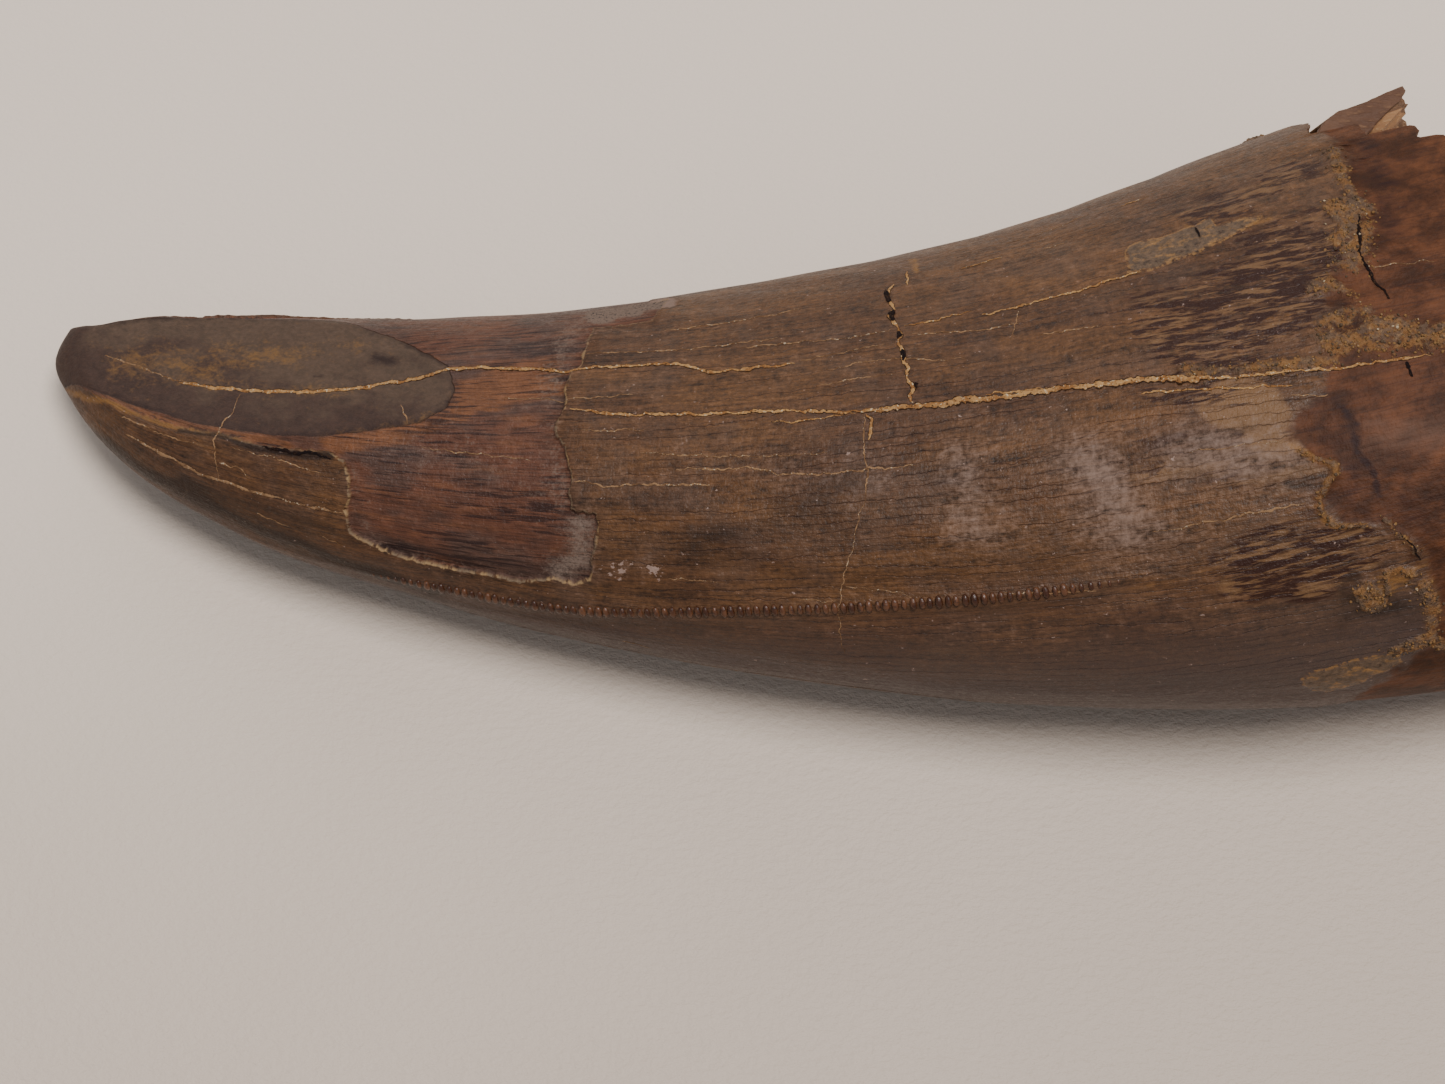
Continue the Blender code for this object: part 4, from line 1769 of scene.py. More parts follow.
@dataclass(frozen=True)
class RootFinish:
    """Orange-brown bone of the root with fine dark lines along it, and a painted pink highlight."""

    brown: tuple = shade(78, 47, 29)
    orange: tuple = shade(104, 64, 42)
    dark: tuple = shade(48, 31, 24)
    # painted highlight: the pink gloss laid where the lamp's reflection falls on the root
    painted_highlight: tuple = shade(122, 88, 70)

    def colour(self, made: SkinMaker) -> Socket:
        """The root's colour everywhere on the skin.

        Args:
            made: the skin's material.

        Returns:
            The colour.
        """
        broad = made.noise((0.3, 0.4, 0.4), 4, 0.65, 101)
        colour = made.lay(self.brown, self.orange, broad, 0.38, 0.62)
        grain = made.grown((0.4, 3.0, 3.0), 3, 0.6, 105)
        colour = made.tone(colour, (grain, 0.6), (made.mottle, 1.4), (broad, 0.9))
        lines = made.line(made.grown((0.07, 1.3, 1.3), 2, 0.5, 108, 0.1), 0.5, 0.02)
        colour = made.blend(made.times(lines, 0.35), colour, self.dark)
        # Painted highlight: the pink gloss on the root.
        colour = made.lay(colour, self.painted_highlight, made.marked(Stain.RED, (grain, 0.8)), 0.2, 1.1, 0.8)
        dark = made.marked(Stain.DARK, (grain, 1.2), (made.mottle, 0.8))
        return made.lay(colour, self.dark, dark, 0.25, 0.95, 0.85)


@dataclass(frozen=True)
class CrustFinish:
    """Gold and grey mineral crust, and patches of smooth grey mineral with a golden rim."""

    gold: tuple = shade(142, 99, 60)
    grey: tuple = shade(108, 86, 70)
    pale: tuple = shade(186, 150, 110)
    dark: tuple = shade(62, 43, 32)
    patch: tuple = shade(106, 84, 66)
    rim: tuple = shade(156, 114, 70)

    def colour(self, made: SkinMaker) -> Socket:
        """The crust's colour everywhere on the skin.

        Args:
            made: the skin's material.

        Returns:
            The colour.
        """
        grit = made.noise((2.6, 2.6, 2.6), 4, 0.75, 124)
        colour = made.lay(self.gold, self.grey, made.noise((0.9, 0.9, 0.9), 4, 0.7, 120), 0.42, 0.58)
        veins = made.line(made.noise((0.8, 0.8, 0.8), 3, 0.6, 126), 0.5, 0.05)
        pale = made.work("MAXIMUM", made.step(grit, 0.56, 0.70), made.times(veins, 0.25))
        colour = made.blend(made.times(pale, 0.7), colour, self.pale)
        return made.lay(colour, self.dark, grit, 0.44, 0.32, 0.8)

    def patched(self, made: SkinMaker, colour: Socket, inside: Socket) -> Socket:
        """Adds the smooth patches over a colour.

        Args:
            made: the skin's material.
            colour: what lies under them.
            inside: how far inside their edges a place lies.

        Returns:
            The colour with the patches on it.
        """
        fine = made.noise((2.6, 2.6, 2.6), 3, 0.65, 128)
        spots = made.noise((0.8, 1.6, 1.6), 4, 0.7, 129)
        middle = made.lay(made.lay(self.patch, self.rim, spots, 0.5, 0.66), self.dark, spots, 0.42, 0.3)
        middle = made.tone(middle, (fine, 1.8), (made.grit, 1.2))
        edge = made.uneven(inside, (made.grit, 0.3), (fine, 0.2))
        colour = made.lay(colour, self.rim, edge, -0.08, 0.03, made.step(fine, 0.42, 0.56), 0.85)
        return made.lay(colour, middle, edge, 0.08, 0.24)


@dataclass(frozen=True)
class SkinFinish:
    """The finish of the whole outside, from enamel to dentine, worn face, root and crust."""

    enamel: EnamelFinish = EnamelFinish()
    dentine: DentineFinish = DentineFinish()
    worn: WornFinish = WornFinish()
    root: RootFinish = RootFinish()
    crust: CrustFinish = CrustFinish()
    edge: tuple = shade(172, 138, 98)
    edge_grey: tuple = shade(132, 110, 88)

    def material(self) -> bpy.types.Material:
        """Makes the material.

        Returns:
            The material, which reads the numbers that the tooth's mesh stores.
        """
        made = SkinMaker()
        grit, mottle = made.grit, made.mottle
        chip = made.uneven(made.number("chip"), (grit, 0.16))
        cloud = made.noise((0.3, 0.3, 0.3), 3, 0.6, 139)
        base = made.uneven(made.number("bare_root"), (grit, 0.9), (cloud, 1.6))
        inside = made.number("worn")
        on_chip = made.step(chip, -0.03, 0.07)
        on_root = made.step(base, -0.7, 0.7)
        on_worn = made.step(made.uneven(inside, (grit, 0.2)), -0.05, 0.08)
        on_crust = made.step(made.marked(Stain.CRUST, (grit, 1.0), (mottle, 1.2)), 0.3, 0.7)

        dentine = self.dentine.hazy(made, self.dentine.colour(made))
        colour = made.blend(on_chip, self.enamel.colour(made), dentine)
        ledge = made.times(made.line(chip, -0.02, 0.12), made.number("pale"), made.step(grit, 0.36, 0.52))
        kind = made.noise((0.8, 0.8, 0.8), 2, 0.5, 140)
        colour = made.blend(ledge, colour, made.lay(self.edge, self.edge_grey, kind, 0.42, 0.58))
        colour = made.blend(on_root, colour, self.root.colour(made))
        colour = made.blend(on_worn, colour, self.worn.colour(made, inside))
        colour = made.blend(made.times(on_crust, 0.88), colour, self.crust.colour(made))
        colour = self.crust.patched(made, colour, made.number("patch"))

        rough = made.mix(on_root, made.uneven(0.46, (grit, 0.4), (made.threads, 0.3)), 0.66)
        rough = made.mix(on_worn, rough, made.step(grit, 0.2, 0.8, 0.56, 0.68))
        dull = made.work("MAXIMUM", made.work("MAXIMUM", on_crust, made.number("haze_and_sheen")), made.number("pale"))
        height = made.sum(made.times(made.grown((0.18, 2.4, 2.4), 3, 0.6, 150), 0.5),
                          made.times(made.threads, 0.6), made.times(mottle, 0.9), made.times(grit, 0.5),
                          made.times(made.lines, made.mix(on_root, -0.25, 0.0)))
        height = made.mix(on_worn, height, made.times(mottle, 0.5))
        fine = made.noise((6, 7, 7), 2, 0.6, 155)
        made.bump(made.sum(height, made.times(fine, made.mix(on_crust, 0.3, 1.2))), 0.13, 0.9)
        return made.finish(colour, made.mix(dull, rough, 0.8), 0.28)


@dataclass(frozen=True)
class BreakFinish:
    """The splintered break of the root's wall."""

    name: str
    main: tuple
    other: tuple
    pale: tuple
    coordinate: str | None = "straight"

    def material(self) -> bpy.types.Material:
        """Makes the material.

        Returns:
            The material, ready to be given to a piece.
        """
        made = FinishMaker(self.name, self.coordinate)
        broad = made.noise((0.15, 0.4, 0.4), 4, 0.6, 170)
        fine = made.noise((0.8, 3.4, 3.4), 4, 0.65, 174)
        colour = made.lay(self.main, self.other, broad, 0.4, 0.62)
        made.bump(made.mix(0.5, broad, fine), 0.3)
        return made.finish(made.lay(colour, self.pale, fine, 0.52, 0.7, 0.7),
                           made.step(fine, 0.3, 0.7, 0.5, 0.75))


@dataclass(frozen=True)
class FillingFinish:
    """What fills a crack: pale mineral with dark walls of painted shade, or a dark strip of painted shadow.
    """

    name: str
    main: tuple
    other: tuple
    fleck: tuple
    # wall: the dark of the gaps in the mineral, and the painted shade along the strip's sides
    wall: tuple
    walls: float = 0.12
    gaps: float = 0.40

    def material(self) -> bpy.types.Material:
        """Makes the material.

        Returns:
            The material, which reads the numbers that the strips store.
        """
        made = FinishMaker(self.name, None)
        grit = made.noise((5.0, 5.0, 5.0), 3, 0.7, 184)
        colour = made.lay(self.main, self.other, made.noise((1.1, 1.1, 1.1), 3, 0.6, 180), 0.42, 0.6)
        colour = made.lay(colour, self.fleck, grit, 0.58, 0.66)
        colour = made.lay(colour, self.wall, grit, self.gaps, self.gaps - 0.05)
        # Painted shade: both sides of each strip darken to the wall colour, standing in for the shadow along
        # the crack's edges.
        aside = made.work("ABSOLUTE", made.work("SUBTRACT", made.number("across"), 0.5))
        aside = made.uneven(aside, (made.noise((3.5, 3.5, 3.5), 2, 0.6, 188), 0.5))
        edge = 0.5 - self.walls
        made.bump(grit, 0.12)
        return made.finish(made.lay(colour, self.wall, aside, edge - 0.08, edge + 0.04), 0.75, 0.15)


@dataclass(frozen=True)
class DenticleFinish:
    """Glossy red-brown serrations."""

    red: tuple = shade(76, 46, 32)
    amber: tuple = shade(112, 73, 50)
    dark: tuple = shade(44, 29, 23)

    def material(self) -> bpy.types.Material:
        """Makes the material.

        Returns:
            The material, ready to be given to a piece.
        """
        made = FinishMaker("denticle_enamel", None)
        fine = made.noise((4, 4, 4), 3, 0.6, 194)
        colour = made.lay(self.red, self.amber, made.noise((0.7, 0.7, 0.7), 3, 0.6, 190), 0.42, 0.64)
        colour = made.lay(colour, self.dark, fine, 0.5, 0.68, 0.7)
        made.bump(fine, 0.05)
        return made.finish(colour, made.step(fine, 0.3, 0.7, 0.3, 0.45), 0.45)


@dataclass(frozen=True)
class GrainFinish:
    """Crumbs of gold, grey and white mineral."""

    gold: tuple = shade(148, 110, 70)
    grey: tuple = shade(98, 80, 64)
    white: tuple = shade(200, 176, 144)

    def material(self) -> bpy.types.Material:
        """Makes the material.

        Returns:
            The material, ready to be given to a piece.
        """
        made = FinishMaker("mineral_grains", None)
        kind = made.noise((1.7, 1.7, 1.7), 1, 0.5, 200)
        fine = made.noise((9, 9, 9), 3, 0.6, 204)
        colour = made.lay(self.grey, self.gold, kind, 0.42, 0.52)
        colour = made.lay(colour, self.white, kind, 0.68, 0.72)
        colour = made.lay(colour, self.grey, fine, 0.5, 0.7, 0.5)
        made.bump(fine, 0.06)
        return made.finish(colour, made.step(fine, 0.3, 0.7, 0.65, 0.85), 0.2)


@dataclass(frozen=True)
class Lamp:
    """A soft lamp that is aimed at the tooth."""

    name: str
    place: tuple[float, float, float]
    width: float
    depth: float
    power: float

    def make(self) -> None:
        """Adds the lamp."""
        lamp = bpy.data.lights.new(self.name, "AREA")
        lamp.shape, lamp.size, lamp.size_y = "ELLIPSE", self.width * MM, self.depth * MM
        lamp.energy = self.power
        thing = bpy.data.objects.new(self.name, lamp)
        thing.location = Vector(self.place) * MM
        thing.rotation_euler = (-thing.location).to_track_quat("-Z", "Y").to_euler()
        bpy.context.scene.collection.objects.link(thing)


@dataclass(frozen=True)
class Studio:
    """The pale table, painted darker towards its near side as the light falls off, and the soft light over
    it.
    """

    table: tuple[float, float, float, float] = (0.77, 0.63, 0.515, 1.0)
    # painted shade: the table's colour on its near side, darker to stand in for the light falling off
    table_painted_falloff: tuple[float, float, float, float] = (0.53, 0.415, 0.325, 1.0)
    table_half: float = 1500.0
    lamps: tuple[Lamp, ...] = (
        Lamp("softbox", (240.0, -60.0, 1170.0), 500.0, 500.0, 14.5),
        Lamp("far_panel", (-140.0, 320.0, 185.0), 420.0, 200.0, 0.3),
    )
    sky: tuple[float, float, float, float] = (0.74, 0.80, 0.88, 1.0)
    sky_strength: float = 0.50

    def make_table(self) -> bpy.types.Object:
        """Makes the table top, which the tooth lies on.

        Returns:
            The table top.
        """
        half, edge = self.table_half, 12
        spots = np.linspace(-half, half, edge)
        points = np.array([(x, y, -0.02) for y in spots for x in spots])
        faces = [(r * edge + c, r * edge + c + 1, (r + 1) * edge + c + 1, (r + 1) * edge + c)
                 for r in range(edge - 1) for c in range(edge - 1)]
        table = make_object("table_top", points, faces)
        made = FinishMaker("pale_table", None)
        where = made.add("ShaderNodeSeparateXYZ", {0: made.place}).outputs
        cloud = made.noise((0.02, 0.02, 0.02), 2)
        nearer = made.uneven(made.sum(where[1], made.times(where[0], -0.25)), (cloud, 30.0))
        pebbles = made.noise((1.2, 1.7, 1.5), 3, 0.65, 210)
        made.bump(made.times(pebbles, made.step(nearer, 60.0, -50.0, 0.5, 1.0)), 0.2, 0.8)
        # Painted shade: the table darkens towards its near side and right, as the light falls off.
        colour = made.lay(self.table, self.table_painted_falloff, nearer, 45.0, -75.0)
        table.data.materials.append(made.finish(colour, 0.55, 0.3))
        return table

    def make_lights(self) -> None:
        """Makes the lamps and the weak even light all round."""
        for lamp in self.lamps:
            lamp.make()
        world = bpy.data.worlds.new("even_light")
        world.use_nodes = True
        backdrop = world.node_tree.nodes["Background"]
        backdrop.inputs["Color"].default_value = self.sky
        backdrop.inputs["Strength"].default_value = self.sky_strength
        bpy.context.scene.world = world


MARKS: dict[Stain, tuple[tuple, ...]] = {
    Stain.DARK: (
        (((692, 548), (722, 534)), 1.0, 1.4, 0.65), (((780, 514), (822, 500), (858, 478)), 1.0, 1.5, 0.6),
        # Broad stroke along the lower flank: partly staining, partly painted shade where the light falls off.
        (((630, 560), (800, 570), (960, 560), (1090, 575)), 1.6, 2.2, 0.3),
        (((940, 478), (1020, 500), (1060, 540)), 1.2, 1.8, 0.5),
        # Broad stroke on the lower enamel: partly staining, partly painted shade where the light falls off.
        (((620, 520), (760, 520), (900, 500)), 2.0, 2.5, 0.25),
        (((1050, 455), (1180, 436), (1245, 450)), 0.6, 1.0, 0.5),
        (((1300, 398), (1320, 420), (1337, 442)), 1.5, 1.2, 0.4), (((740, 392), (775, 384)), 0.7, 1.0, 0.4),
        (((850, 292), (875, 286)), 0.6, 0.8, 0.5), (((1010, 245), (1058, 230)), 0.25, 0.4, 0.6),
        # These two broad strokes along the lower flank: partly staining, partly painted shade where the light
        # falls off.
        (((420, 604), (620, 640), (900, 655), (1150, 660), (1330, 640)), 1.8, 2.0, 0.3),
        (((620, 645), (760, 670), (960, 692), (1210, 702)), 0.8, 1.2, 0.3),
        # Painted shadow: a dark line below the row of serrations.
        (((390, 592), (476, 608), (593, 624), (760, 625), (905, 617), (993, 609), (1090, 599)),
         0.2, 0.4, 0.6),
        (((1240, 540), (1300, 560)), 1.5, 1.6, 0.45), (((1255, 572), (1340, 554)), 1.4, 1.4, 0.35),
        (((1290, 484), (1310, 486)), 0.35, 0.4, 0.8),
        (((95, 435), (170, 484), (250, 524), (330, 556), (380, 574), (430, 592)), 0.9, 0.9, 1.0),
        (((180, 480), (260, 508), (330, 528)), 0.5, 0.6, 0.7),
        (((200, 440), (270, 450), (330, 470)), 0.5, 0.7, 0.4),
        # These two: a dark band along the groove at the patch's edge, painted shadow with dark pits in it.
        (((178, 428), (216, 432), (254, 447), (285, 452), (330, 456)), 0.22, 0.2, 1.0),
        (((275, 452), (300, 456), (330, 456)), 0.25, 0.15, 1.0), (((372, 344), (390, 354)), 0.35, 0.5, 0.8),
        (((370, 350), (405, 352), (438, 372)), 1.0, 1.2, 0.55), (((310, 361), (318, 360)), 0.2, 0.3, 0.8),
        (((230, 395), (330, 405), (400, 395)), 0.8, 1.5, 0.45), (((60, 350), (90, 345)), 1.6, 1.2, 0.2),
        (((350, 470), (420, 505), (500, 530), (560, 560)), 1.6, 2.0, 0.5),
        (((390, 545), (470, 565), (560, 572)), 0.5, 0.6, 0.7),
        (((455, 372), (460, 395), (430, 425)), 0.15, 0.35, 0.7),
        (((1338, 401), (1351, 418), (1356, 434), (1358, 451), (1369, 464), (1377, 478), (1379, 492)),
         0.22, 0.2, 1.0),
        (((1362, 140), (1385, 180), (1388, 225)), 1.2, 1.2, 0.6),
        (((1325, 150), (1350, 165)), 0.8, 0.9, 0.5),
        (((1345, 560), (1350, 595), (1390, 605)), 0.8, 0.8, 0.7),
        (((1400, 500), (1425, 530)), 0.8, 0.8, 0.5), (((1345, 620), (1445, 600)), 1.2, 1.5, 0.5),
        (((1340, 390), (1440, 385)), 1.0, 1.2, 0.35),
        (((1352, 470), (1356, 500), (1375, 520)), 0.8, 0.8, 0.5),
        (((60, 230), (78, 250)), 4.0, 4.0, 0.5, True), (((40, -60), (70, -50)), 2.5, 3.0, 0.5, True),
    ),
    Stain.TAN: (
        (((620, 430), (700, 395), (850, 435)), 2.0, 2.5, 0.25),
        (((1226, 402), (1262, 408), (1270, 430)), 1.9, 0.7, 1.0),
        (((1150, 470), (1240, 468), (1320, 470)), 1.2, 1.4, 0.6),
        (((1265, 520), (1300, 530)), 1.0, 1.2, 0.5), (((1295, 560), (1330, 590)), 0.8, 1.2, 0.5),
        # Painted highlight: a broad tan stroke that brightens the enamel's highlight band.
        (((1010, 470), (1120, 470), (1270, 480)), 2.0, 2.6, 0.3),
        (((1100, 612), (1200, 600)), 0.6, 1.0, 0.35),
        (((150, 425), (230, 455), (320, 490)), 0.6, 0.9, 0.35),
        (((50, 215), (80, 215)), 2.5, 3.0, 0.4, True), (((60, -35), (88, -30)), 2.0, 3.0, 0.3, True),
    ),
    Stain.OCHRE: (
        (((112, 355), (150, 346), (205, 350)), 0.9, 1.7, 0.85),
        (((230, 344), (262, 338), (286, 342)), 0.7, 1.0, 0.75), (((300, 381), (345, 379)), 0.4, 0.7, 0.6),
        (((200, 328), (360, 334)), 0.7, 1.4, 0.5), (((200, 368), (330, 374)), 0.35, 0.8, 0.6),
        (((63, 388), (113, 402), (178, 424), (216, 430), (283, 446)), 0.3, 0.35, 0.9),
        (((560, 385), (500, 395), (455, 412), (400, 430), (330, 441)), 0.6, 0.9, 0.9),
        (((605, 400), (600, 440), (612, 480)), 0.7, 1.2, 0.4),
        (((462, 400), (490, 380), (545, 372)), 0.9, 1.2, 0.9), (((914, 260), (916, 272)), 0.4, 0.35, 1.0),
        (((908, 274), (907, 286)), 0.18, 0.25, 0.9),
        (((1100, 590), (1200, 570), (1290, 520)), 0.8, 1.5, 0.45),
        (((1185, 226), (1218, 230), (1243, 229), (1271, 218)), 0.2, 0.4, 0.9),
        (((1216, 280), (1255, 276)), 0.12, 0.3, 0.9),
        (((1185, 330), (1251, 325), (1304, 308)), 0.15, 0.4, 0.8),
        (((1195, 372), (1320, 362)), 0.5, 0.6, 0.7),
        (((1288, 441), (1302, 452), (1318, 460), (1334, 463)), 0.25, 0.4, 0.9),
        (((1301, 451), (1318, 459), (1334, 463), (1336, 474), (1329, 484), (1319, 497), (1321, 513),
         (1334, 525), (1367, 526)), 0.3, 0.45, 1.0),
        (((1380, 590), (1430, 560), (1440, 620)), 1.0, 1.2, 0.7),
    ),
    Stain.HAZE_AND_SHEEN: (
        (((580, 322), (562, 345), (552, 385)), 1.0, 1.4, 0.45),
        (((664, 302), (630, 308), (598, 314)), 1.1, 0.5, 1.6),
        (((552, 420), (553, 445), (562, 500)), 0.5, 1.1, 0.45),
        (((580, 522), (580, 562), (560, 572)), 0.8, 1.1, 0.8),
        (((352, 470), (356, 520), (385, 552), (450, 568), (520, 578), (580, 572)), 0.2, 0.45, 0.3),
        # The first stroke on this line is painted sheen on the dentine.
        (((400, 450), (470, 455), (540, 490)), 1.2, 2.0, 0.2), (((610, 572), (655, 562)), 0.4, 0.8, 0.4),
        # Painted highlight: these strokes lay pale sheen in the enamel's highlight band.
        (((962, 462), (975, 520)), 1.6, 2.2, 0.65), (((1090, 462), (1125, 520)), 2.0, 2.4, 0.8),
        (((1190, 455), (1275, 452)), 1.8, 2.2, 0.7), (((1000, 540), (1200, 535)), 0.8, 2.0, 0.3),
        (((780, 470), (880, 490)), 1.6, 2.6, 0.3),
    ),
    Stain.PALE: (
        (((178, 426), (254, 445), (328, 452)), 0.4, 0.4, 0.25),
        (((338, 458), (345, 464), (350, 488), (346, 511), (351, 535)), 0.6, 0.4, 0.85),
        (((366, 542), (392, 555), (451, 570), (520, 583), (589, 580)), 0.6, 0.4, 1.0),
        (((593, 553), (597, 514), (570, 510), (571, 477), (556, 436), (558, 418), (565, 390)),
         0.6, 0.4, 0.95),
        (((570, 372), (581, 363), (590, 335), (595, 328), (652, 320), (669, 299)), 0.6, 0.4, 0.7),
    ),
    Stain.SPECKS: (
        (((612, 574), (630, 566)), 0.5, 0.5, 0.9), (((650, 566), (658, 572)), 0.5, 0.5, 1.0),
    ),
    Stain.RED: (
        # Painted highlight on the root.
        (((1375, 435), (1445, 430)), 1.6, 1.8, 0.7),
    ),
    Stain.DASHES: (
        (((1190, 330), (1260, 300), (1310, 250)), 3.6, 2.4, 1.0),
        (((1200, 215), (1300, 170)), 1.6, 1.6, 0.7), (((1250, 572), (1345, 552)), 2.1, 1.6, 1.3),
        (((1150, 395), (1240, 398)), 0.5, 0.8, 0.7), (((1150, 470), (1240, 480)), 1.0, 1.5, 0.4),
        (((1130, 440), (1290, 430)), 0.5, 0.6, 0.35),
        (((88, 170), (90, 210), (88, 250)), 3.0, 3.0, 0.8, True),
        (((86, -60), (87, -25)), 2.5, 3.0, 0.8, True),
    ),
    Stain.CRUST: (
        (((1333, 152), (1346, 188), (1352, 200)), 0.5, 0.5, 0.75),
        (((1328, 211), (1346, 226), (1367, 232)), 0.4, 0.4, 0.8),
        (((1330, 240), (1345, 242), (1366, 250)), 0.4, 0.4, 0.75),
        (((1352, 205), (1350, 255)), 1.3, 0.9, 0.75),
        (((1313, 289), (1335, 283), (1352, 294)), 0.5, 0.5, 0.75),
        (((1340, 338), (1390, 330), (1445, 336)), 1.2, 1.0, 0.75),
        (((1328, 322), (1366, 308)), 0.6, 0.6, 0.65),
        (((1185, 373), (1260, 368), (1335, 360)), 0.4, 0.45, 0.75),
        (((1394, 354), (1394, 355)), 0.16, 0.1, 1.0),
        (((1336, 474), (1329, 484), (1319, 497), (1321, 513), (1334, 525), (1367, 526)), 0.16, 0.2, 0.8),
        (((1301, 451), (1318, 459), (1334, 463), (1336, 474)), 0.2, 0.2, 0.75),
        (((1387, 519), (1399, 533), (1412, 543), (1419, 556)), 0.2, 0.25, 0.75),
        (((1366, 590), (1374, 602)), 0.6, 0.3, 1.0),
        (((1388, 592), (1386, 576), (1400, 570), (1416, 575)), 0.22, 0.2, 0.9),
        (((1422, 585), (1433, 610), (1433, 635)), 0.6, 0.6, 0.7),
        (((1395, 650), (1424, 640), (1445, 646)), 0.6, 0.4, 0.9),
        (((97, 165), (98.5, 185), (96, 205)), 0.6, 0.6, 0.7, True),
        (((94.5, 222), (93.5, 240)), 0.7, 0.7, 0.7, True), (((93, -50), (93.5, -22)), 0.6, 0.6, 0.7, True),
    ),
}
STROKES: tuple[Stroke, ...] = tuple(Stroke(stain, *mark) for stain, marks in MARKS.items() for mark in marks)

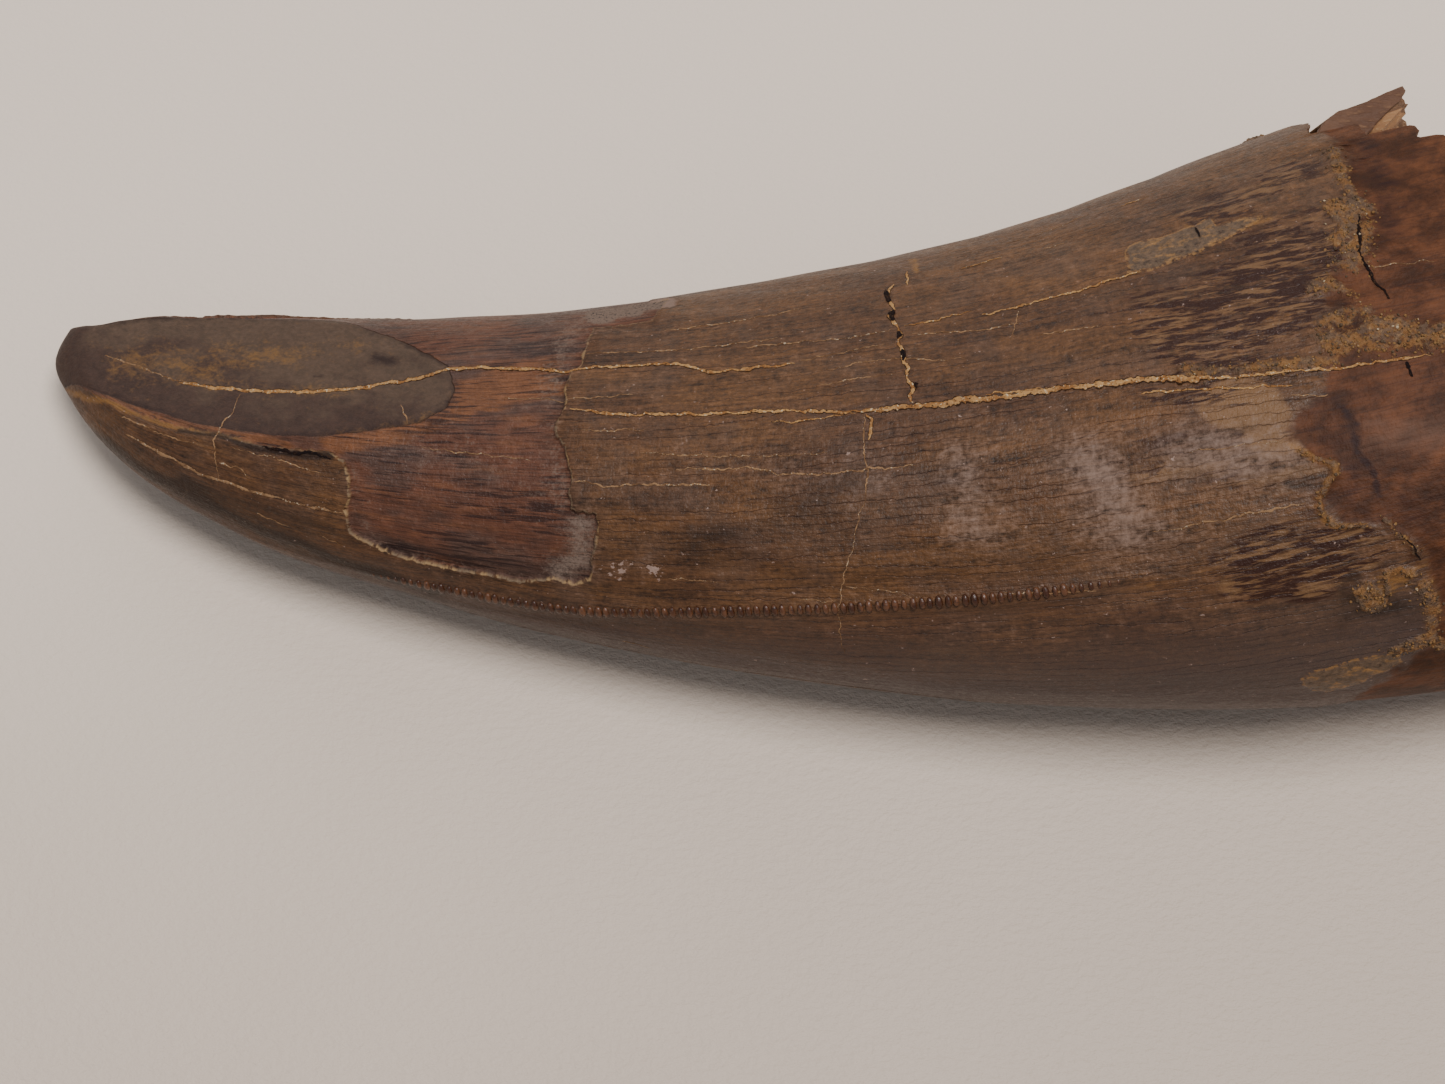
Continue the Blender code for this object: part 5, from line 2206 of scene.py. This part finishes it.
CRACK_LINES: dict[CrackKind, tuple[tuple, ...]] = {
    CrackKind.FILLED: (
        (((170, 368), (200, 372), (240, 376), (297, 379), (330, 379), (380, 375), (420, 371), (450, 365),
         (469, 365), (496, 367), (529, 367), (561, 370), (580, 369)), 0.36),
        (((572, 370), (595, 367), (630, 366), (652, 364), (680, 364), (688, 366), (703, 371), (721, 372),
         (744, 369), (766, 367), (795, 364)), 0.32),
        (((570, 409), (590, 411), (607, 414), (641, 414), (698, 414), (754, 412), (790, 410), (814, 411),
         (839, 413), (863, 411), (885, 410)), 0.30),
        (((863, 411), (899, 408), (931, 405), (957, 402), (993, 398), (1022, 395), (1060, 389),
         (1112, 383), (1150, 379), (1190, 378), (1210, 378)), 0.58),
        (((986, 394), (1020, 391), (1060, 386)), 0.22),
        (((1200, 379), (1244, 376), (1296, 371), (1327, 369), (1376, 361), (1431, 354)), 0.3),
        (((770, 422), (800, 421), (830, 417), (863, 411)), 0.15),
        (((1141, 393), (1190, 390), (1243, 388), (1265, 386), (1292, 386)), 0.2),
        (((904, 326), (930, 321), (955, 315), (972, 312)), 0.18),
        (((982, 315), (1007, 310), (1041, 300), (1081, 290), (1117, 278), (1140, 272)), 0.26),
        (((907, 272), (907, 286)), 0.24),
        (((894, 285), (887, 293), (889, 300), (894, 308), (890, 317), (897, 325), (901, 334), (898, 342),
         (904, 352), (903, 360), (909, 368), (907, 378), (914, 388), (910, 396), (913, 403)), 0.42),
        (((1120, 206), (1134, 201), (1148, 196)), 0.14), (((961, 269), (985, 262), (1001, 257)), 0.16),
        (((866, 414), (872, 420), (869, 440)), 0.3),
        (((30, 262), (52, 258), (78, 266), (92, 262)), 0.3, True),
        (((48, 222), (70, 226), (90, 221)), 0.22, True),
        (((25, -40), (45, -38), (66, -30), (90, -34)), 0.22, True),
    ),
    CrackKind.HAIR: (
        (((1005, 244), (1030, 237), (1058, 227), (1090, 214)), 0.1), (((1043, 249), (1064, 242)), 0.12),
        (((587, 353), (657, 351), (705, 347), (778, 338)), 0.13),
        (((664, 330), (710, 325), (730, 322), (766, 316), (800, 309)), 0.12),
        (((737, 348), (802, 342), (851, 338), (892, 329)), 0.12),
        (((912, 333), (961, 332), (986, 329), (1018, 324)), 0.12),
        (((1035, 336), (1070, 331), (1100, 326)), 0.12), (((800, 360), (860, 349), (885, 344)), 0.09),
        (((820, 372), (860, 362), (902, 358), (934, 361), (965, 358)), 0.1),
        (((820, 385), (860, 378), (896, 373)), 0.1), (((1018, 311), (1010, 340)), 0.08),
        (((567, 398), (633, 395)), 0.11), (((582, 430), (645, 430)), 0.12),
        (((640, 453), (696, 455), (778, 456), (827, 453)), 0.1),
        (((676, 469), (730, 469), (749, 467), (773, 473), (814, 475), (860, 470), (916, 465)), 0.14),
        (((574, 481), (601, 485), (640, 484), (669, 485), (710, 486)), 0.15),
        (((500, 396), (540, 395), (568, 400)), 0.09), (((420, 446), (470, 452), (530, 458)), 0.08),
        (((846, 587), (897, 592), (914, 598)), 0.12), (((800, 600), (836, 601)), 0.1),
        (((668, 577), (725, 583)), 0.1), (((622, 640), (636, 643), (650, 648)), 0.14),
        (((1153, 533), (1203, 523), (1236, 517), (1306, 502)), 0.14),
        (((1185, 453), (1240, 446), (1288, 440)), 0.08), (((1291, 396), (1329, 395)), 0.1),
        (((1371, 266), (1434, 259)), 0.1), (((999, 593), (1045, 592), (1096, 590)), 0.16),
        (((110, 408), (143, 425), (172, 438), (204, 447)), 0.11),
        (((125, 433), (157, 450), (181, 464), (213, 479), (245, 488), (275, 498), (304, 505), (329, 511),
         (344, 513)), 0.24),
        (((219, 463), (234, 467), (248, 476)), 0.16), (((231, 447), (275, 458), (327, 477)), 0.1),
        (((257, 514), (289, 526)), 0.12), (((322, 536), (345, 545)), 0.12),
        (((232, 380), (228, 400), (216, 426), (214, 450), (218, 478)), 0.12),
        (((400, 400), (404, 412), (408, 422)), 0.12),
        (((864, 414), (865, 424), (863, 443), (867, 472), (866, 497)), 0.15),
        (((866, 497), (858, 522), (851, 551), (844, 577), (838, 611), (840, 638), (845, 653)), 0.08),
        (((100, 347), (130, 353), (165, 366), (178, 369)), 0.16),
        (((40, -75), (60, -72), (84, -76)), 0.12, True), (((30, 238), (50, 242), (66, 240)), 0.12, True),
        (((55, -55), (70, -50), (90, -54)), 0.12, True), (((35, -15), (58, -10), (75, -13)), 0.12, True),
        (((55, 205), (72, 208), (90, 204)), 0.12, True),
    ),
    CrackKind.OPEN: (
        (((886, 291), (887, 297), (890, 303)), 0.34), (((893, 310), (891, 315), (894, 321)), 0.44),
        (((898, 331), (901, 335), (898, 339)), 0.30), (((902, 350), (904, 356), (903, 361)), 0.36),
        (((915, 383), (917, 388)), 0.32),
        (((1359, 214), (1360, 252), (1365, 264), (1373, 277), (1391, 297)), 0.22),
        (((1406, 361), (1409, 368), (1415, 375)), 0.28),
        (((262, 446), (280, 450), (296, 453), (312, 453), (331, 459)), 0.24),
        (((1195, 229), (1201, 237)), 0.16), (((1422, 560), (1414, 545), (1398, 532)), 0.1),
        (((63, 200), (62, 230), (64, 262)), 0.18, True),
    ),
}
CRACKS: tuple[Crack, ...] = tuple(Crack(kind, *line) for kind, lines in CRACK_LINES.items() for line in lines)


def keep(piece: bpy.types.Object, *, replaces: bool = False) -> None:
    """Makes a piece part of the object and reports it.

    Args:
        piece: the finished piece.
        replaces: whether it stands for the tooth's plain solid.
    """
    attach(piece, BODY)
    if replaces:
        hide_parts(NODE)
    piece.data.calc_loop_triangles()
    LOG.info("%s: %d triangles", piece.name, len(piece.data.loop_triangles))


def main() -> None:
    """Builds the tooth, its details, the table, the light and the camera."""
    logging.basicConfig(level=logging.INFO, format="%(name)s: %(message)s")
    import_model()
    view = PhotoView()
    view.make_camera()
    studio = Studio()
    studio.make_table()
    studio.make_lights()

    skin = WornSkin(ToothForm(), view, STROKES)
    body = ToothBody(skin, SkinGrid()).build()
    body.data.materials.append(SkinFinish().material())
    for finish in (
        BreakFinish("broken_wall", shade(128, 94, 70), shade(102, 72, 54), shade(172, 138, 106)),
        BreakFinish("pulp_wall", shade(186, 138, 98), shade(158, 114, 82), shade(218, 178, 134)),
    ):
        body.data.materials.append(finish.material())
    keep(body, replaces=True)

    flake = BreakFinish("splinter", shade(122, 89, 70), shade(106, 76, 60), shade(148, 112, 86), None)
    keep(Splinter().build(view, flake.material()))
    beads = DenticleFinish().material()
    keep(Denticles().build("mesial_serrations", skin, MESIAL, beads))
    keep(Denticles(seed=8).build("distal_serrations", skin, DISTAL, beads))
    keep(Grains().build("crust_grains", body, Stain.CRUST, GrainFinish().material()))

    filled = FillingFinish("crack_mineral", shade(192, 146, 96), shade(156, 108, 66), shade(222, 200, 166),
                           shade(62, 44, 33), 0.14)
    hair = FillingFinish("hairline_mineral", shade(164, 126, 92), shade(118, 86, 62), shade(206, 184, 156),
                         shade(58, 42, 32), 0.05, 0.34)
    # The open cracks are dark strips: painted shadow in the gaps.
    hollow = FillingFinish("open_crack", shade(36, 28, 24), shade(46, 34, 28), shade(84, 62, 46),
                           shade(40, 30, 25))
    strips = CrackFilling()
    for kind, finish in ((CrackKind.FILLED, filled), (CrackKind.HAIR, hair), (CrackKind.OPEN, hollow)):
        keep(strips.build(kind, skin, CRACKS, finish.material()))

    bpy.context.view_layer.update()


if __name__ == "__main__":
    main()
